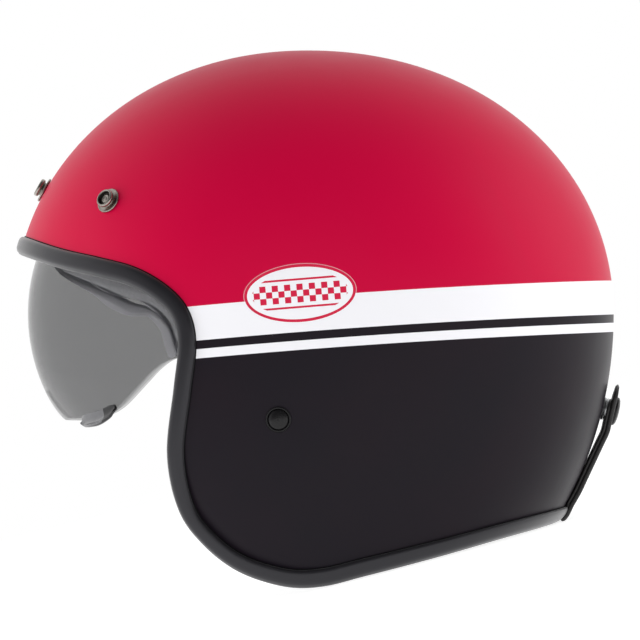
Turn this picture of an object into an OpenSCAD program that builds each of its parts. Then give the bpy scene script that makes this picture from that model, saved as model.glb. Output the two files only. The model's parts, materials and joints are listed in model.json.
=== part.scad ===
// Open face motorcycle helmet with a drop-down sun visor.
//
// The helmet is drawn as it is worn: the wearer looks along -Y, +X is the wearer's left and the
// origin is the middle of the head. set_down() then tips it back until both cheek lobes and the
// nape rest on a table at z = 0, which is the frame that every module is handed over in.

/* [Shell] */
// Half of the shell's width at the temples
shell_half_w = 114; // [113:0.5:116]
// Middle of the head to the front of the shell
shell_front = 132.3; // [131.5:0.1:134]
// Middle of the head to the back of the shell
shell_rear = 137.5; // [136:0.5:139]
// Middle of the head to the crown
shell_top = 119; // [118:0.5:121]
// Wall thickness of the moulded shell
shell_t = 3.5; // [3:0.1:3.5]

/* [Edge trim] */
// Reach of the rubber bead to each side of the shell's edge
bead_reach = 4.2; // [3.8:0.1:4.4]
// Height of the bead above the shell
bead_h = 2.5; // [2:0.1:2.8]

/* [Liner] */
// Depth of the impact liner's outer face below the shell's surface
foam_out = 4.6; // [4.6:0.1:5]
// Depth of the impact liner's inner face
foam_in = 28.5; // [27:0.5:28.5]
// Depth of the comfort liner's inner face
comfort_in = 36; // [35:0.5:38]
// Depth of the cheek pads' inner face
cheek_in = 40.5; // [39:0.5:40.5]

/* [Visor] */
// Half of the lens's width at its pivots
lens_half_w = 100; // [99.5:0.1:100.2]
// Thickness of the lens
lens_t = 2; // [1.8:0.1:2.2]
// Radius of the pivot pins
pivot_r = 4; // [3.5:0.1:4.5]

/* [Snaps] */
// Radius of the brow studs' snap heads
snap_r = 4.2; // [4:0.1:4.5]
// Radius of the domes on the strap rivets
dome_r = 4.45; // [4:0.05:4.5]

/* [Chin strap] */
// Width of the chin strap's webbing
web_w = 22; // [20:1:24]
// Thickness of the webbing
web_t = 1.8; // [1.5:0.1:2]

/* [Hidden] */
$fn = 40;

// Exponents of the dome's profile and of its plan outline
dome_n = 2.07;
plan_n = 2.1;
// Depths below the middle at which the lower shell's length and width would close up
len_depth = 158;
wid_depth = 230;

// The shell's edge in side view, [y, z], between its two ends on the middle plane
brow_z = 31;
nape_z = -89.6;
rim_mid = [[-110, 25], [-92, 20.8], [-76.5, 16.5], [-63.5, 9], [-55.6, 0], [-52.8, -13],
    [-54.9, -33], [-57.9, -61], [-53.4, -84], [-43.6, -98], [-29, -109], [-10, -115],
    [6, -115], [25, -110.5], [56, -103], [88, -95]];
// The impact liner's edge: along the face opening, over the cheek pads, round to the nape
foam_brow_z = 24;
foam_nape_z = -74;
foam_rim = [[-94, 12.5], [-84, 8.5], [-73, 5.5], [-64.5, -2.5], [-61.5, -10.5], [-57.5, -17.5],
    [-46, -20.5], [-20, -20.5], [10, -24], [36, -36], [52, -60], [61, -76], [74, -79], [85, -77.5]];
// The comfort liner's edge, inside the impact liner's
comfort_brow_z = 27;
comfort_nape_z = -66;
comfort_rim = [[-78, 17], [-62, 8], [-52, -2], [-40, -12], [-10, -14], [14, -18], [34, -28],
    [46, -46], [56, -62], [74, -68]];
// The cheek pads' lower and upper edges, front to back
pad_low = [[-55, -36], [-54, -62], [-48, -82], [-36, -97], [-18, -106.5], [2, -110],
    [24, -105.5], [42, -100.5], [54, -97]];
pad_top = [[-57, -23], [-46, -22.8], [-34, -22.8], [-20, -22.8], [-6, -23.8], [12, -27.5],
    [30, -39], [44, -61], [54, -83]];
pad_out = 12;

// Cells of the modelled sheets: along the rim, and from the rim to the middle plane
rim_cells = 60;
rib_cells = 12;
foam_cells = 44;
foam_ribs = 9;
comfort_cells = 30;
comfort_ribs = 7;

// Visor: pivot [y, z], and the circle that the lens's middle profile follows
pivot = [-20, -5];
lens_arc = [-44, 0.6];
lens_arc_r = 82;
ear_r = 12;
pivot_play = 0.05;
// Lower and upper edges of the lens, [share of the way from ear to front, z]
lens_low = [[0, -17], [0.19, -18], [0.366, -18.9], [0.412, -20.2], [0.48, -25], [0.537, -30.3],
    [0.624, -37.4], [0.69, -42], [0.76, -45.2], [0.85, -46.8], [1, -47]];
lens_top = [[0, 7], [0.19, 10], [0.38, 16], [0.67, 24], [1, 31]];
nose_half_w = 26;
nose_h = 13;
lens_cells = 46;
lens_rows = 6;
// Plan angle at which the curved lens begins, beside its round ears
first_psi = 3;
// The foam's hollow for the raised lens: its half-width and its reach from the pivot
pocket_half_w = 93;
pocket_reach = 97;

// Brow snaps and strap rivets, [y, z] in side view
brow_snap_z = 55.9;
side_snap = [-87.5, 50.1];
strap_spot = [-12.7, -45.6];

// Chin strap: its slot in the pad, and the lean of the folded strap against the pad
slot_z = -86;
slot_x = 61;
strap_lean = 6;
knuckle = 2.3;

// Goggle strap: fold line [y, z], lean of the leather, and snap height
fold = [123.6, -75.3];
goggle_lean = 22.7;
leather_t = 2.6;
leather_w = 20;
goggle_snap_z = -42;

RED = [0.72, 0.02, 0.16];
BLACK = [0.12, 0.12, 0.13];
RUBBER = [0.2, 0.2, 0.21];
FOAM = [0.85, 0.85, 0.87];
CLOTH = [0.17, 0.17, 0.19];
SMOKE = [0.45, 0.45, 0.48, 0.6];
GUNMETAL = [0.42, 0.39, 0.36];
STEEL = [0.68, 0.69, 0.7];
LEATHER = [0.13, 0.12, 0.12];
WEBBING = [0.1, 0.1, 0.11];
RIBBON = [0.75, 0.05, 0.1];

// ---------------------------------------------------------------- curves and surfaces

function sq(a) = a * a;
function unit(v) = v / norm(v);
function mix(a, b, s) = a + (b - a) * s;
function flip_x(p) = [-p.x, p.y, p.z];
function reversed(v) = [for (i = [len(v) - 1 : -1 : 0]) v[i]];
function smooth(a) = let (c = min(1, max(0, a))) c * c * (3 - 2 * c);
// Height of a superellipse of exponent n at the share a of its half-width
function arch(a, n) = pow(max(0, 1 - pow(min(1, abs(a)), n)), 1 / n);

// Half-width and half-length of the layer t below the shell's surface, at height z
function wid(z, t = 0) = (shell_half_w - t)
    * (z > 0 ? arch(z / (shell_top - t), dome_n) : sqrt(1 - sq(z / wid_depth)));
function reach(z, t = 0, back = false) = ((back ? shell_rear : shell_front) - t)
    * (z > 0 ? arch(z / (shell_top - t), dome_n) : sqrt(1 - sq(z / len_depth)));
// The layer's point on the wearer's left over the side-view point q = [y, z]
function on_layer(q, t = 0) = let (share = q.x / max(0.001, reach(q.y, t, q.x > 0)))
    [wid(q.y, t) * arch(share, plan_n), q.x, q.y];
// The layer's point at the plan angle a, from the left side towards the back or the front
function round_layer(a, z, t, back) = [wid(z, t) * sign(cos(a)) * pow(abs(cos(a)), 2 / plan_n),
    (back ? 1 : -1) * reach(z, t, back) * pow(sin(a), 2 / plan_n), z];
// The layer's middle profile, [y, z], at the angle a from the front over the crown
function profile(a, t = 0) = let (s = sin(a), c = cos(a), l = (c < 0 ? shell_rear : shell_front) - t)
    s > 0 ? [-l * sign(c) * pow(abs(c), 2 / dome_n), (shell_top - t) * pow(s, 2 / dome_n)]
          : [-l * c, len_depth * s];
// The angle at which the profile passes the height z on its front side
function profile_angle(z, t = 0) = z > 0 ? asin(pow(z / (shell_top - t), dome_n / 2))
                                         : asin(z / len_depth);

// Outward normal of the shell at p, by small steps along each axis
normal_step = 0.05;
function level(p) = pow(abs(p.x) / wid(p.z), plan_n) + pow(abs(p.y) / reach(p.z, 0, p.y > 0), plan_n);
function normal_at(p) = unit([for (axis = [[1, 0, 0], [0, 1, 0], [0, 0, 1]])
    let (e = normal_step * axis) level(p + e) - level(p - e)]);
// The direction in which the shell's wall is measured: away from the head's core
function outward(p) = unit(p - [0, 0, min(p.z, 0)]);

// A smooth curve through the points, at the share s of the way along
function spline(pts, s) = let (n = len(pts) - 1, k = min(n - 1, floor(s * n)), t = s * n - k,
        a = pts[max(0, k - 1)], b = pts[k], c = pts[k + 1], d = pts[min(n, k + 2)])
    0.5 * (2 * b + (c - a) * t + (2 * a - 5 * b + 4 * c - d) * t * t
        + (3 * b - a - 3 * c + d) * t * t * t);
// Stations crowd towards both ends, where an edge crosses the middle plane
ease_part = 0.16;
function ease(u) = (u < ease_part ? sq(u) / (2 * ease_part)
    : u > 1 - ease_part ? 1 - ease_part - sq(1 - u) / (2 * ease_part)
    : u - ease_part / 2) / (1 - ease_part);

// An edge's points with its ends on the layer's own middle profile
function edge_pts(front_z, mid, back_z, t) = [profile(profile_angle(front_z, t), t), each mid,
    profile(180 - profile_angle(back_z, t), t)];
// A layer as a sheet of ribs, each from the edge on the left over to the edge on the right
function ribs(front_z, mid, back_z, t, n, m) =
    let (edge = edge_pts(front_z, mid, back_z, t),
        a = profile_angle(front_z, t), b = 180 - profile_angle(back_z, t))
    [for (i = [1 : n - 1]) let (s = ease(i / n), e = spline(edge, s), c = profile(mix(a, b, s), t),
        half = [for (j = [0 : m]) let (q = mix(e, c, sin(90 * j / m)))
            j == m ? [0, q.x, q.y] : on_layer(q, t)])
        [each half, each [for (j = [m - 1 : -1 : 0]) flip_x(half[j])]]];

// ---------------------------------------------------------------- solids from sheets and sections

// Triangles between neighbouring points of a sheet whose points start at s, for either side
function cells(rows, cols, s, back) = [for (i = [0 : rows - 2], j = [0 : cols - 2])
    let (a = s + i * cols + j, b = a + cols) each back ? [[a, a + 1, b], [a + 1, b + 1, b]]
                                                       : [[a, b, a + 1], [a + 1, b, b + 1]]];
// The points round a sheet's edge, in order
function border(rows, cols) = [each [for (j = [0 : cols - 1]) j],
    each [for (i = [1 : rows - 1]) i * cols + cols - 1],
    each [for (j = [cols - 2 : -1 : 0]) (rows - 1) * cols + j],
    each [for (i = [rows - 2 : -1 : 1]) i * cols]];

// The closed solid between two sheets of points with the same rows and columns
module slab(outer, inner) {
    rows = len(outer);
    cols = len(outer[0]);
    n = rows * cols;
    rim = border(rows, cols);
    walls = [for (k = [0 : len(rim) - 1]) let (a = rim[k], b = rim[(k + 1) % len(rim)])
        each [[b, a, a + n], [b + n, b, a + n]]];
    polyhedron([for (row = outer) each row, for (row = inner) each row],
        concat(cells(rows, cols, 0, true), cells(rows, cols, n, false), walls));
}

// A solid swept through a list of equal sections, ring closed on itself or capped
module loft(rings, closed = false) {
    n = len(rings);
    c = len(rings[0]);
    sides = [for (i = [0 : closed ? n - 1 : n - 2], j = [0 : c - 1])
        let (next = (i + 1) % n, a = i * c + j, b = i * c + (j + 1) % c, d = next * c + j,
            e = next * c + (j + 1) % c)
        each [[a, b, d], [b, e, d]]];
    last = (n - 1) * c;
    caps = closed ? [] : [for (j = [1 : c - 2]) each [[0, j + 1, j], [last, last + j, last + j + 1]]];
    polyhedron([for (r = rings) each r], concat(sides, caps));
}

// The outline of a strip of thickness t along a flat path
function band(path, t) = let (n = len(path) - 1,
        side = [for (i = [0 : n]) let (d = unit(path[min(n, i + 1)] - path[max(0, i - 1)]))
            [-d.y, d.x] * t / 2])
    [each [for (i = [0 : n]) path[i] + side[i]], each [for (i = [n : -1 : 0]) path[i] - side[i]]];

// A strip of width w along a path in the side-on plane [x, z] or in the fore-and-aft plane [y, z]
module cross_strip(path, t, w) rotate([90, 0, 0]) linear_extrude(w, center = true) polygon(band(path, t));
module long_strip(path, t, w) rotate([90, 0, 90]) linear_extrude(w, center = true) polygon(band(path, t));

// Children stand on the shell at p, with +Z along its outward normal
module stand_on(p) {
    v = normal_at(p);
    translate(p) rotate([0, acos(v.z), atan2(v.y, v.x)]) children();
}
module both_sides() {
    children();
    mirror([1, 0, 0]) children();
}

// ---------------------------------------------------------------- places

shell_outer = ribs(brow_z, rim_mid, nape_z, 0, rim_cells, rib_cells);
shell_inner = [for (row = shell_outer) [for (p = row) p - shell_t * outward(p)]];

// The edge as a loop round both sides; u runs 0 to 1 down the left side and on to 2 up the right
rim_edge = edge_pts(brow_z, rim_mid, nape_z, 0);
function rim_at(u) = let (w = u < 0 ? -u : u > 1 ? 2 - u : u, p = on_layer(spline(rim_edge, ease(w))))
    w == u ? p : flip_x(p);
// The bead's section, [into the shell, away from the head], with a slot for the shell's edge
slot_gap = 0.2;
bead = [[bead_reach, 0.25], [bead_reach - 0.2, bead_h * 0.6], [bead_reach - 2, bead_h], [-1.2, bead_h],
    [-3.4, bead_h * 0.55], [-bead_reach, -0.8], [-bead_reach, -shell_t], [-2.8, -shell_t - 2.3],
    [3.4, -shell_t - 2.5], [3.4, -shell_t - 0.5], [-0.8, -shell_t - 0.5], [-0.8, slot_gap]];
rim_step = 0.004;
trim_rings = [for (i = [0 : 2 * rim_cells - 1]) let (u = i / rim_cells, p = rim_at(u),
        along = unit(rim_at(u + rim_step) - rim_at(u - rim_step)), in = unit(cross(normal_at(p), along)))
    [for (b = bead) p + b.x * in + b.y * outward(p)]];

// Setting down: tipped so that the lowest of the bead at the lobes and at the nape are level
trim_pts = [for (r = trim_rings) each r];
lobe_pts = [for (p = trim_pts) if (p.y < 40 && p.z < -105) p];
nape_pts = [for (p = trim_pts) if (p.y > 70 && p.z < -85) p];
tip = max([for (p = lobe_pts) min([for (q = nape_pts) atan2(q.z - p.z, q.y - p.y)])]);
function tipped(p) = [p.x, p.y * cos(tip) + p.z * sin(tip), p.z * cos(tip) - p.y * sin(tip)];
row_z = -min([for (p = trim_pts) tipped(p).z]);
row_y = -(min([for (r = lens_sheet(0)) each [for (p = r) tipped(p).y]])
    + max([for (r = shell_outer) each [for (p = r) tipped(p).y]])) / 2;
module set_down() translate([0, row_y, row_z]) rotate([-tip, 0, 0]) children();

brow_snap = let (y = -reach(brow_snap_z)) [0, y, brow_snap_z];
snap_spots = [brow_snap, on_layer(side_snap), flip_x(on_layer(side_snap))];
strap_rivet = on_layer(strap_spot);
goggle_snap = [0, reach(goggle_snap_z, 0, true), goggle_snap_z];

// The lens k below its outer face, as columns from ear to ear and rows from bottom to top
function lens_reach(z, k) = pivot.x - lens_arc.x + sqrt(sq(lens_arc_r - k) - sq(z - lens_arc.y));
function lens_at(psi, z, k) = [(lens_half_w - k) * sign(cos(psi)) * pow(abs(cos(psi)), 2 / plan_n),
    pivot.x - lens_reach(z, k) * pow(sin(psi), 2 / plan_n), z];
function nose(x) = abs(x) < nose_half_w ? nose_h * (1 + cos(180 * x / nose_half_w)) / 2 : 0;
function lens_bottom(psi) = lookup(pow(sin(psi), 2 / plan_n), lens_low) + nose(lens_at(psi, 0, 0).x);
function lens_sheet(k) = [for (i = [0 : lens_cells])
    let (psi = mix(180 - first_psi, first_psi, i / lens_cells), low = lens_bottom(psi),
        top = lookup(pow(sin(psi), 2 / plan_n), lens_top))
    [for (j = [0 : lens_rows]) lens_at(psi, mix(low, top, j / lens_rows), k)]];

// The foam's outer face sinks to the lens pocket where the lens sweeps past
function sunk(p) = let (d = [p.y - pivot.x, p.z - pivot.y], r = norm(d), up = atan2(d.y, -d.x),
        f = pow(abs(p.x) / pocket_half_w, plan_n) + pow(r / pocket_reach, plan_n),
        top = 70 + 600 / max(20, r), k = up < -90 ? 0 : 1 - smooth((up - top) / 9),
        o = [0, pivot.x, pivot.y], floor_p = o + (p - o) * min(1, pow(f, -1 / plan_n)))
    mix(p, floor_p, k);
function foam_sheet(t) = ribs(foam_brow_z, foam_rim, foam_nape_z, t, foam_cells, foam_ribs);
foam_outer = [for (row = foam_sheet(foam_out)) [for (p = row) sunk(p)]];
foam_inner = foam_sheet(foam_in);

// ---------------------------------------------------------------- shell and trim

// Radii of the holes for the snaps' tails, the strap rivets, the nape's stud and its rivet
snap_hole = 2.1;
rivet_hole = 2.6;
stud_hole = 1.8;
nape_hole = 1.9;
module hole(r) translate([0, 0, -10]) cylinder(r = r, h = 20);
module outer_shell() color(RED) set_down() difference() {
    slab(shell_outer, shell_inner);
    for (p = snap_spots) stand_on(p) hole(snap_hole);
    both_sides() stand_on(strap_rivet) hole(rivet_hole);
    stand_on(goggle_snap) hole(stud_hole);
    goggle_frame() rivet_axis() hole(nape_hole);
}

module edge_trim() color(RUBBER) set_down() loft(reversed(trim_rings), closed = true);

// ---------------------------------------------------------------- liner and pads

// Hollows in the foam for the visor's ears and plates, and for the nape stud's tail
ear_hollow_r = 24;
tail_hollow_r = 6;
module eps_liner() color(FOAM) set_down() difference() {
    slab(foam_outer, foam_inner);
    both_sides() at_pivot(pocket_half_w - 1) cylinder(r = ear_hollow_r, h = 40);
    stand_on(goggle_snap) translate([0, 0, -9]) cylinder(r = tail_hollow_r, h = 12);
}

// The binding's strip covers the foam's edge along the face opening
binding_cells = 17;
binding_t = 2;
binding_gap = 3;
binding_far = binding_gap + binding_t;
function binding_ring(o, i) = let (d = unit(unit(o[0] - o[1]) + unit(i[0] - i[1])))
    [o[0] + binding_gap * d, o[0] + binding_far * d, i[0] + binding_far * d, i[0] + binding_gap * d];
binding_left = [for (k = [binding_cells : -1 : 1]) binding_ring(foam_outer[k], foam_inner[k])];
module liner_edge_binding() color(CLOTH) set_down()
    loft([each binding_left, each [for (r = reversed(binding_left)) [for (p = r) flip_x(p)]]]);

function comfort_sheet(t) = ribs(comfort_brow_z, comfort_rim, comfort_nape_z, t, comfort_cells, comfort_ribs);
// The comfort liner stands clear of the foam by the touch fastener's thickness
fastener_t = 0.8;
module crown_liner() color(CLOTH) set_down()
    slab(comfort_sheet(foam_in + fastener_t), comfort_sheet(comfort_in));

// A cushion's depth falls away towards its edges
function crowned(u, v) = pow(max(0, 16 * u * (1 - u) * v * (1 - v)), 0.25);
pad_cells = 12;
pad_rows = 8;
// Depths of the pads' edges, outside and inside, and the height of the strap's slot
pad_edge_out = 15;
pad_edge_in = 30;
slot_h = 10;
function pad_sheet(edge_t, mid_t) = [for (i = [0 : pad_cells]) let (u = i / pad_cells)
    [for (j = [0 : pad_rows]) let (v = j / pad_rows, q = mix(spline(pad_low, u), spline(pad_top, u), v))
        on_layer(q, mix(edge_t, mid_t, crowned(u, v)))]];
module cheek_pad() difference() {
    slab(pad_sheet(pad_edge_out, pad_out), pad_sheet(pad_edge_in, cheek_in));
    translate([75, strap_spot.x, slot_z]) cube([60, web_w + 4, slot_h], center = true);
}
module cheek_pad_left() color(CLOTH) set_down() cheek_pad();
module cheek_pad_right() color(CLOTH) set_down() mirror([1, 0, 0]) cheek_pad();

// The roll under the nape, by plan angle from the left side round the back
roll_ends = 38;
roll_cells = 20;
roll_rows = 4;
roll_low = [[0, -99], [0.45, -93.5], [1, -86.5]];
roll_top = [[0, -81.5], [0.45, -80.5], [1, -76.5]];
function roll_sheet(edge_t, mid_t) = [for (i = [0 : roll_cells])
    let (u = i / roll_cells, a = mix(roll_ends, 180 - roll_ends, u),
        s = (sin(a) - sin(roll_ends)) / (1 - sin(roll_ends)))
    [for (j = [0 : roll_rows]) let (v = j / roll_rows, z = mix(lookup(s, roll_low), lookup(s, roll_top), v))
        round_layer(a, z, mix(edge_t, mid_t, crowned(mix(0.15, 0.85, u), v)), true)]];
module neck_roll() color(CLOTH) set_down() slab(roll_sheet(12, 8.5), roll_sheet(24, 33));

// ---------------------------------------------------------------- visor

module at_pivot(x) translate([x, pivot.x, pivot.y]) rotate([0, 90, 0]) children();

module visor_lens() color(SMOKE) set_down() difference() {
    union() {
        slab(lens_sheet(0), lens_sheet(lens_t));
        both_sides() at_pivot(lens_half_w - lens_t) cylinder(r = ear_r, h = lens_t);
    }
    both_sides() at_pivot(lens_half_w - 5) cylinder(r = pivot_r + pivot_play, h = 10);
}

// The finger tab follows the lens's lower edge and flares away from it
tab_from = 41;
tab_to = 59;
tab_cells = 8;
tab_section = [[0.25, 5], [1.6, 5], [1.9, 0.5], [6.5, -3], [5.5, -4.4], [0.25, -1.4]];
module visor_tab() color(SMOKE) set_down()
    loft([for (i = [0 : tab_cells]) let (psi = mix(tab_from, tab_to, i / tab_cells), low = lens_bottom(psi),
            d = lens_at(psi + 1, low, 0) - lens_at(psi - 1, low, 0), out = unit([-d.y, d.x, 0]),
            k = 0.25 + 0.75 * sin(180 * (0.12 + 0.76 * i / tab_cells)))
        [for (s = tab_section) lens_at(psi, low + s.y * mix(0.5, 1, k), 0)
            + out * (s.x > 2 ? mix(1.7, s.x, k) : s.x)]]);

// Plate, spacer to the shell and pivot pin in one moulding, bonded to the shell's inner face
plate_x = lens_half_w + 1.2;
module visor_pivot_plates() color(BLACK) set_down() both_sides() difference() {
    union() {
        at_pivot(plate_x) cylinder(r = 15, h = 2.4);
        at_pivot(plate_x + 2) cylinder(r = 9, h = 4);
        at_pivot(lens_half_w - lens_t - 0.8) cylinder(r = pivot_r, h = lens_t + 3);
    }
    at_pivot(lens_half_w - 10) cylinder(r = 1.6, h = 16);
}
module visor_friction_washers() color(STEEL) set_down() both_sides() difference() {
    at_pivot(lens_half_w + 0.2) cylinder(r = 9, h = 0.8);
    at_pivot(lens_half_w) cylinder(r = pivot_r + 0.2, h = 2);
}
module visor_pivot_screws() color(STEEL) set_down() both_sides() difference() {
    union() {
        at_pivot(lens_half_w - lens_t - 3) cylinder(r = 6, h = 2);
        at_pivot(lens_half_w - lens_t - 2) cylinder(r = 1.5, h = 9);
    }
    at_pivot(lens_half_w - lens_t - 4) cylinder(r = 1.8, h = 2, $fn = 6);
}

// ---------------------------------------------------------------- snaps and rivets

module brow_snap_studs() color(GUNMETAL) set_down() for (p = snap_spots) stand_on(p)
    rotate_extrude() polygon([[2, 0.15], [5.75, 0.15], [5.75, 0.7], [5.3, 1], [3.3, 1.1], [3.1, 1.7],
        [snap_r, 2], [snap_r, 3.7], [snap_r - 0.5, 3.9], [2.9, 3.9], [2.7, 2.2], [2, 2.2]]);
module brow_snap_rivets() color(GUNMETAL) set_down() for (p = snap_spots) stand_on(p)
    rotate_extrude() polygon([[0, -5.8], [3, -5.8], [3.4, -4.9], [1.9, -4.9], [1.9, 2.35], [2.5, 2.35],
        [2.4, 2.75], [1.2, 2.9], [0, 2.9]]);
module brow_snap_washers() color(STEEL) set_down() for (p = snap_spots) stand_on(p)
    translate([0, 0, -4.75]) difference() {
        cylinder(r = 4.4, h = 0.8);
        translate([0, 0, -1]) cylinder(r = 2.1, h = 3);
    }

module strap_rivet_rings() color(BLACK) set_down() both_sides() stand_on(strap_rivet)
    rotate_extrude() polygon([[dome_r + 0.1, 0.15], [5.65, 0.15], [5.65, 0.6], [5.3, 1.05],
        [4.9, 1.05], [dome_r + 0.1, 0.7]]);
module strap_rivet_caps() color(BLACK) set_down() both_sides() stand_on(strap_rivet)
    rotate_extrude() polygon([[0, -10.2], [2.4, -10.2], [2.4, 0.15], [dome_r, 0.15], [dome_r, 0.6],
        each [for (a = [12 : 13 : 90]) [dome_r * cos(a), 0.6 + 2 * sin(a)]]]);
module strap_anchor_plates() color(STEEL) set_down() both_sides() stand_on(strap_rivet)
    translate([0, 0, -6.2]) difference() {
        linear_extrude(1.5) hull() for (x = [-6, 8]) translate([x, 0]) circle(8);
        translate([0, 0, -1]) cylinder(r = 2.6, h = 4);
    }
module strap_rivet_washers() color(STEEL) set_down() both_sides() stand_on(strap_rivet)
    translate([0, 0, -10.4]) difference() {
        cylinder(r = 5, h = 0.9);
        translate([0, 0, -1]) cylinder(r = 2.5, h = 3);
    }

// ---------------------------------------------------------------- chin strap

// From the rivet down behind the cheek pad, then inwards through the pad's slot
root_path = [[104.6, -33], [103.4, -44.8], [102.1, -57], [99.3, -72], [96.6, -81], [93.6, -84.8],
    [89, slot_z], [slot_x + knuckle, slot_z]];
module strap_root() difference() {
    translate([0, strap_spot.x, 0]) cross_strip(root_path, web_t, web_w);
    stand_on(strap_rivet) translate([0, 0, -15]) cylinder(r = 2.6, h = 15);
}
module strap_root_left() color(WEBBING) set_down() strap_root();
module strap_root_right() color(WEBBING) set_down() mirror([1, 0, 0]) strap_root();

// Local frame of a folded strap: the fold line at the origin, +Z along the strap
module strap_frame() translate([slot_x, strap_spot.x, slot_z]) rotate([0, strap_lean, 0]) children();

// Webbing from the fold to a sewn loop round a bar at height bar_z
loop_r = 2.2;
module webbing(bar_z) rotate([90, 0, 0]) linear_extrude(web_w, center = true) difference() {
    union() {
        translate([-web_t / 2, knuckle]) square([web_t, bar_z - loop_r - knuckle - 0.5]);
        translate([0, bar_z]) circle(loop_r + web_t);
    }
    translate([0, bar_z]) circle(loop_r);
}
buckle_bar_z = 50;
tongue_bar_z = 64;
module chin_strap_left() color(WEBBING) set_down() strap_frame() webbing(buckle_bar_z);
module chin_strap_right() color(WEBBING) set_down() mirror([1, 0, 0]) strap_frame() webbing(tongue_bar_z);

// Ratchet buckle: a steel channel with a bar at one end and the lever's pin at the other
channel_w = 27;
wall_t = 1.4;
channel_end = 92;
lever_at = [-4.5, 85];
lever_pin_r = 1.5;
module across(x, z, r, w) translate([x, 0, z]) rotate([90, 0, 0]) cylinder(r = r, h = w, center = true);
module buckle_housing() color(STEEL) set_down() strap_frame() difference() {
    union() {
        translate([2.2, -channel_w / 2, 56]) cube([wall_t, channel_w, channel_end - 56]);
        for (s = [-1, 1]) translate([0, s * (channel_w - wall_t) / 2, 0]) rotate([90, 0, 0])
            linear_extrude(wall_t, center = true) polygon([[3.6, 45], [3.6, channel_end], [-6, channel_end],
                [-8, 88], [-8, 80], [-3, 70], [-3, 45]]);
        across(0, buckle_bar_z, 2, channel_w - 1);
    }
    across(lever_at.x, lever_at.y, lever_pin_r + 0.02, 40);
}
module lever_pin() color(STEEL) set_down() strap_frame() {
    across(lever_at.x, lever_at.y, lever_pin_r, channel_w + 2);
    for (s = [-1, 1]) translate([0, s * (channel_w / 2 + 0.8), 0]) across(lever_at.x, lever_at.y, 2.4, 1.2);
}
// The lever's pawl points at the channel's floor, and its finger end lies over the webbing's loop
lever_w = channel_w - 2 * wall_t - 0.8;
module buckle_lever() color(BLACK) set_down() strap_frame() difference() {
    union() {
        rotate([90, 0, 0]) linear_extrude(lever_w, center = true) polygon([[-9.4, 57], [-8, 56],
            [-7.2, 58], [-7.4, 72], [-5.5, 76], [-1.6, 76.5], [-3, 81.6], [-4.5, 88.2],
            [-8.2, 88.2], [-9.6, 84], [-9.6, 66]]);
        across(lever_at.x, lever_at.y, 3.3, lever_w);
    }
    across(lever_at.x, lever_at.y, lever_pin_r + 0.06, 40);
    translate([-10, -5.2, 81]) cube([12, 10.4, 10]);
}
// Torsion spring round the pin, between the lever's two lugs
module lever_spring() color(STEEL) set_down() strap_frame() {
    for (i = [-4 : 4]) translate([lever_at.x, i * 0.9, lever_at.y]) rotate([90, 0, 0])
        rotate_extrude() translate([2.4, 0]) circle(0.47);
    for (s = [-1, 1]) translate([lever_at.x + 2.4, s * 3.6, lever_at.y - 0.1])
        rotate([0, s < 0 ? 152 : 30, 0]) cylinder(r = 0.4, h = 2.6);
}
module release_ribbon() color(RIBBON) set_down() strap_frame()
    cross_strip([[-8.4, 55.6], [-9.5, 52], [-10, 48], [-9.6, 40], [-9.2, 30]], 1.2, 12);

// Toothed tongue with an eye for the webbing's loop
tongue_w = 18;
tooth = 3;
teeth = 8;
first_tooth = 102;
module ratchet_tongue() color(STEEL) set_down() mirror([1, 0, 0]) strap_frame() {
    for (s = [-1, 1]) translate([-1, s * (web_w / 2 + 1.8) - 1.2, tongue_bar_z - 4]) cube([2, 2.4, 12]);
    translate([-1, -web_w / 2 - 3, tongue_bar_z + 6]) cube([2, web_w + 6, 5]);
    across(0, tongue_bar_z, 1.9, web_w + 5);
    rotate([90, 0, 0]) linear_extrude(tongue_w, center = true)
        polygon([[1, tongue_bar_z + 10], [1, 104], [0, 107], [-0.6, 104],
            each [for (i = [0 : teeth - 1]) let (z = first_tooth - i * tooth)
                each [[-0.6, z], [-1.8, z - 0.6]]],
            [-0.6, 77], [-1, tongue_bar_z + 10]]);
}
sleeve_from = 7;
sleeve_to = 55;
sleeve_w = 34;
sleeve_r = 2.4;
module chin_comfort_sleeve() color(CLOTH) set_down() mirror([1, 0, 0]) strap_frame() difference() {
    rotate([90, 0, 0]) linear_extrude(sleeve_w, center = true) hull()
        for (x = [-1, 1], z = [sleeve_from + sleeve_r, sleeve_to - sleeve_r])
            translate([x, z]) circle(sleeve_r);
    translate([-web_t / 2 - 0.4, -web_w / 2 - 0.5, sleeve_from - 1])
        cube([web_t + 0.8, web_w + 1, sleeve_to - sleeve_from + 2]);
}

// ---------------------------------------------------------------- goggle strap at the nape

// Local frame of the leather: the fold line at the origin, +Z along the strap, +Y away from the shell
module goggle_frame() translate([0, fold.x, fold.y]) rotate([-goggle_lean, 0, 0]) children();
rivet_z = -7;
root_end = 15.6;
module rivet_axis() translate([0, 0, rivet_z]) rotate([-90, 0, 0]) children();
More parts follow.
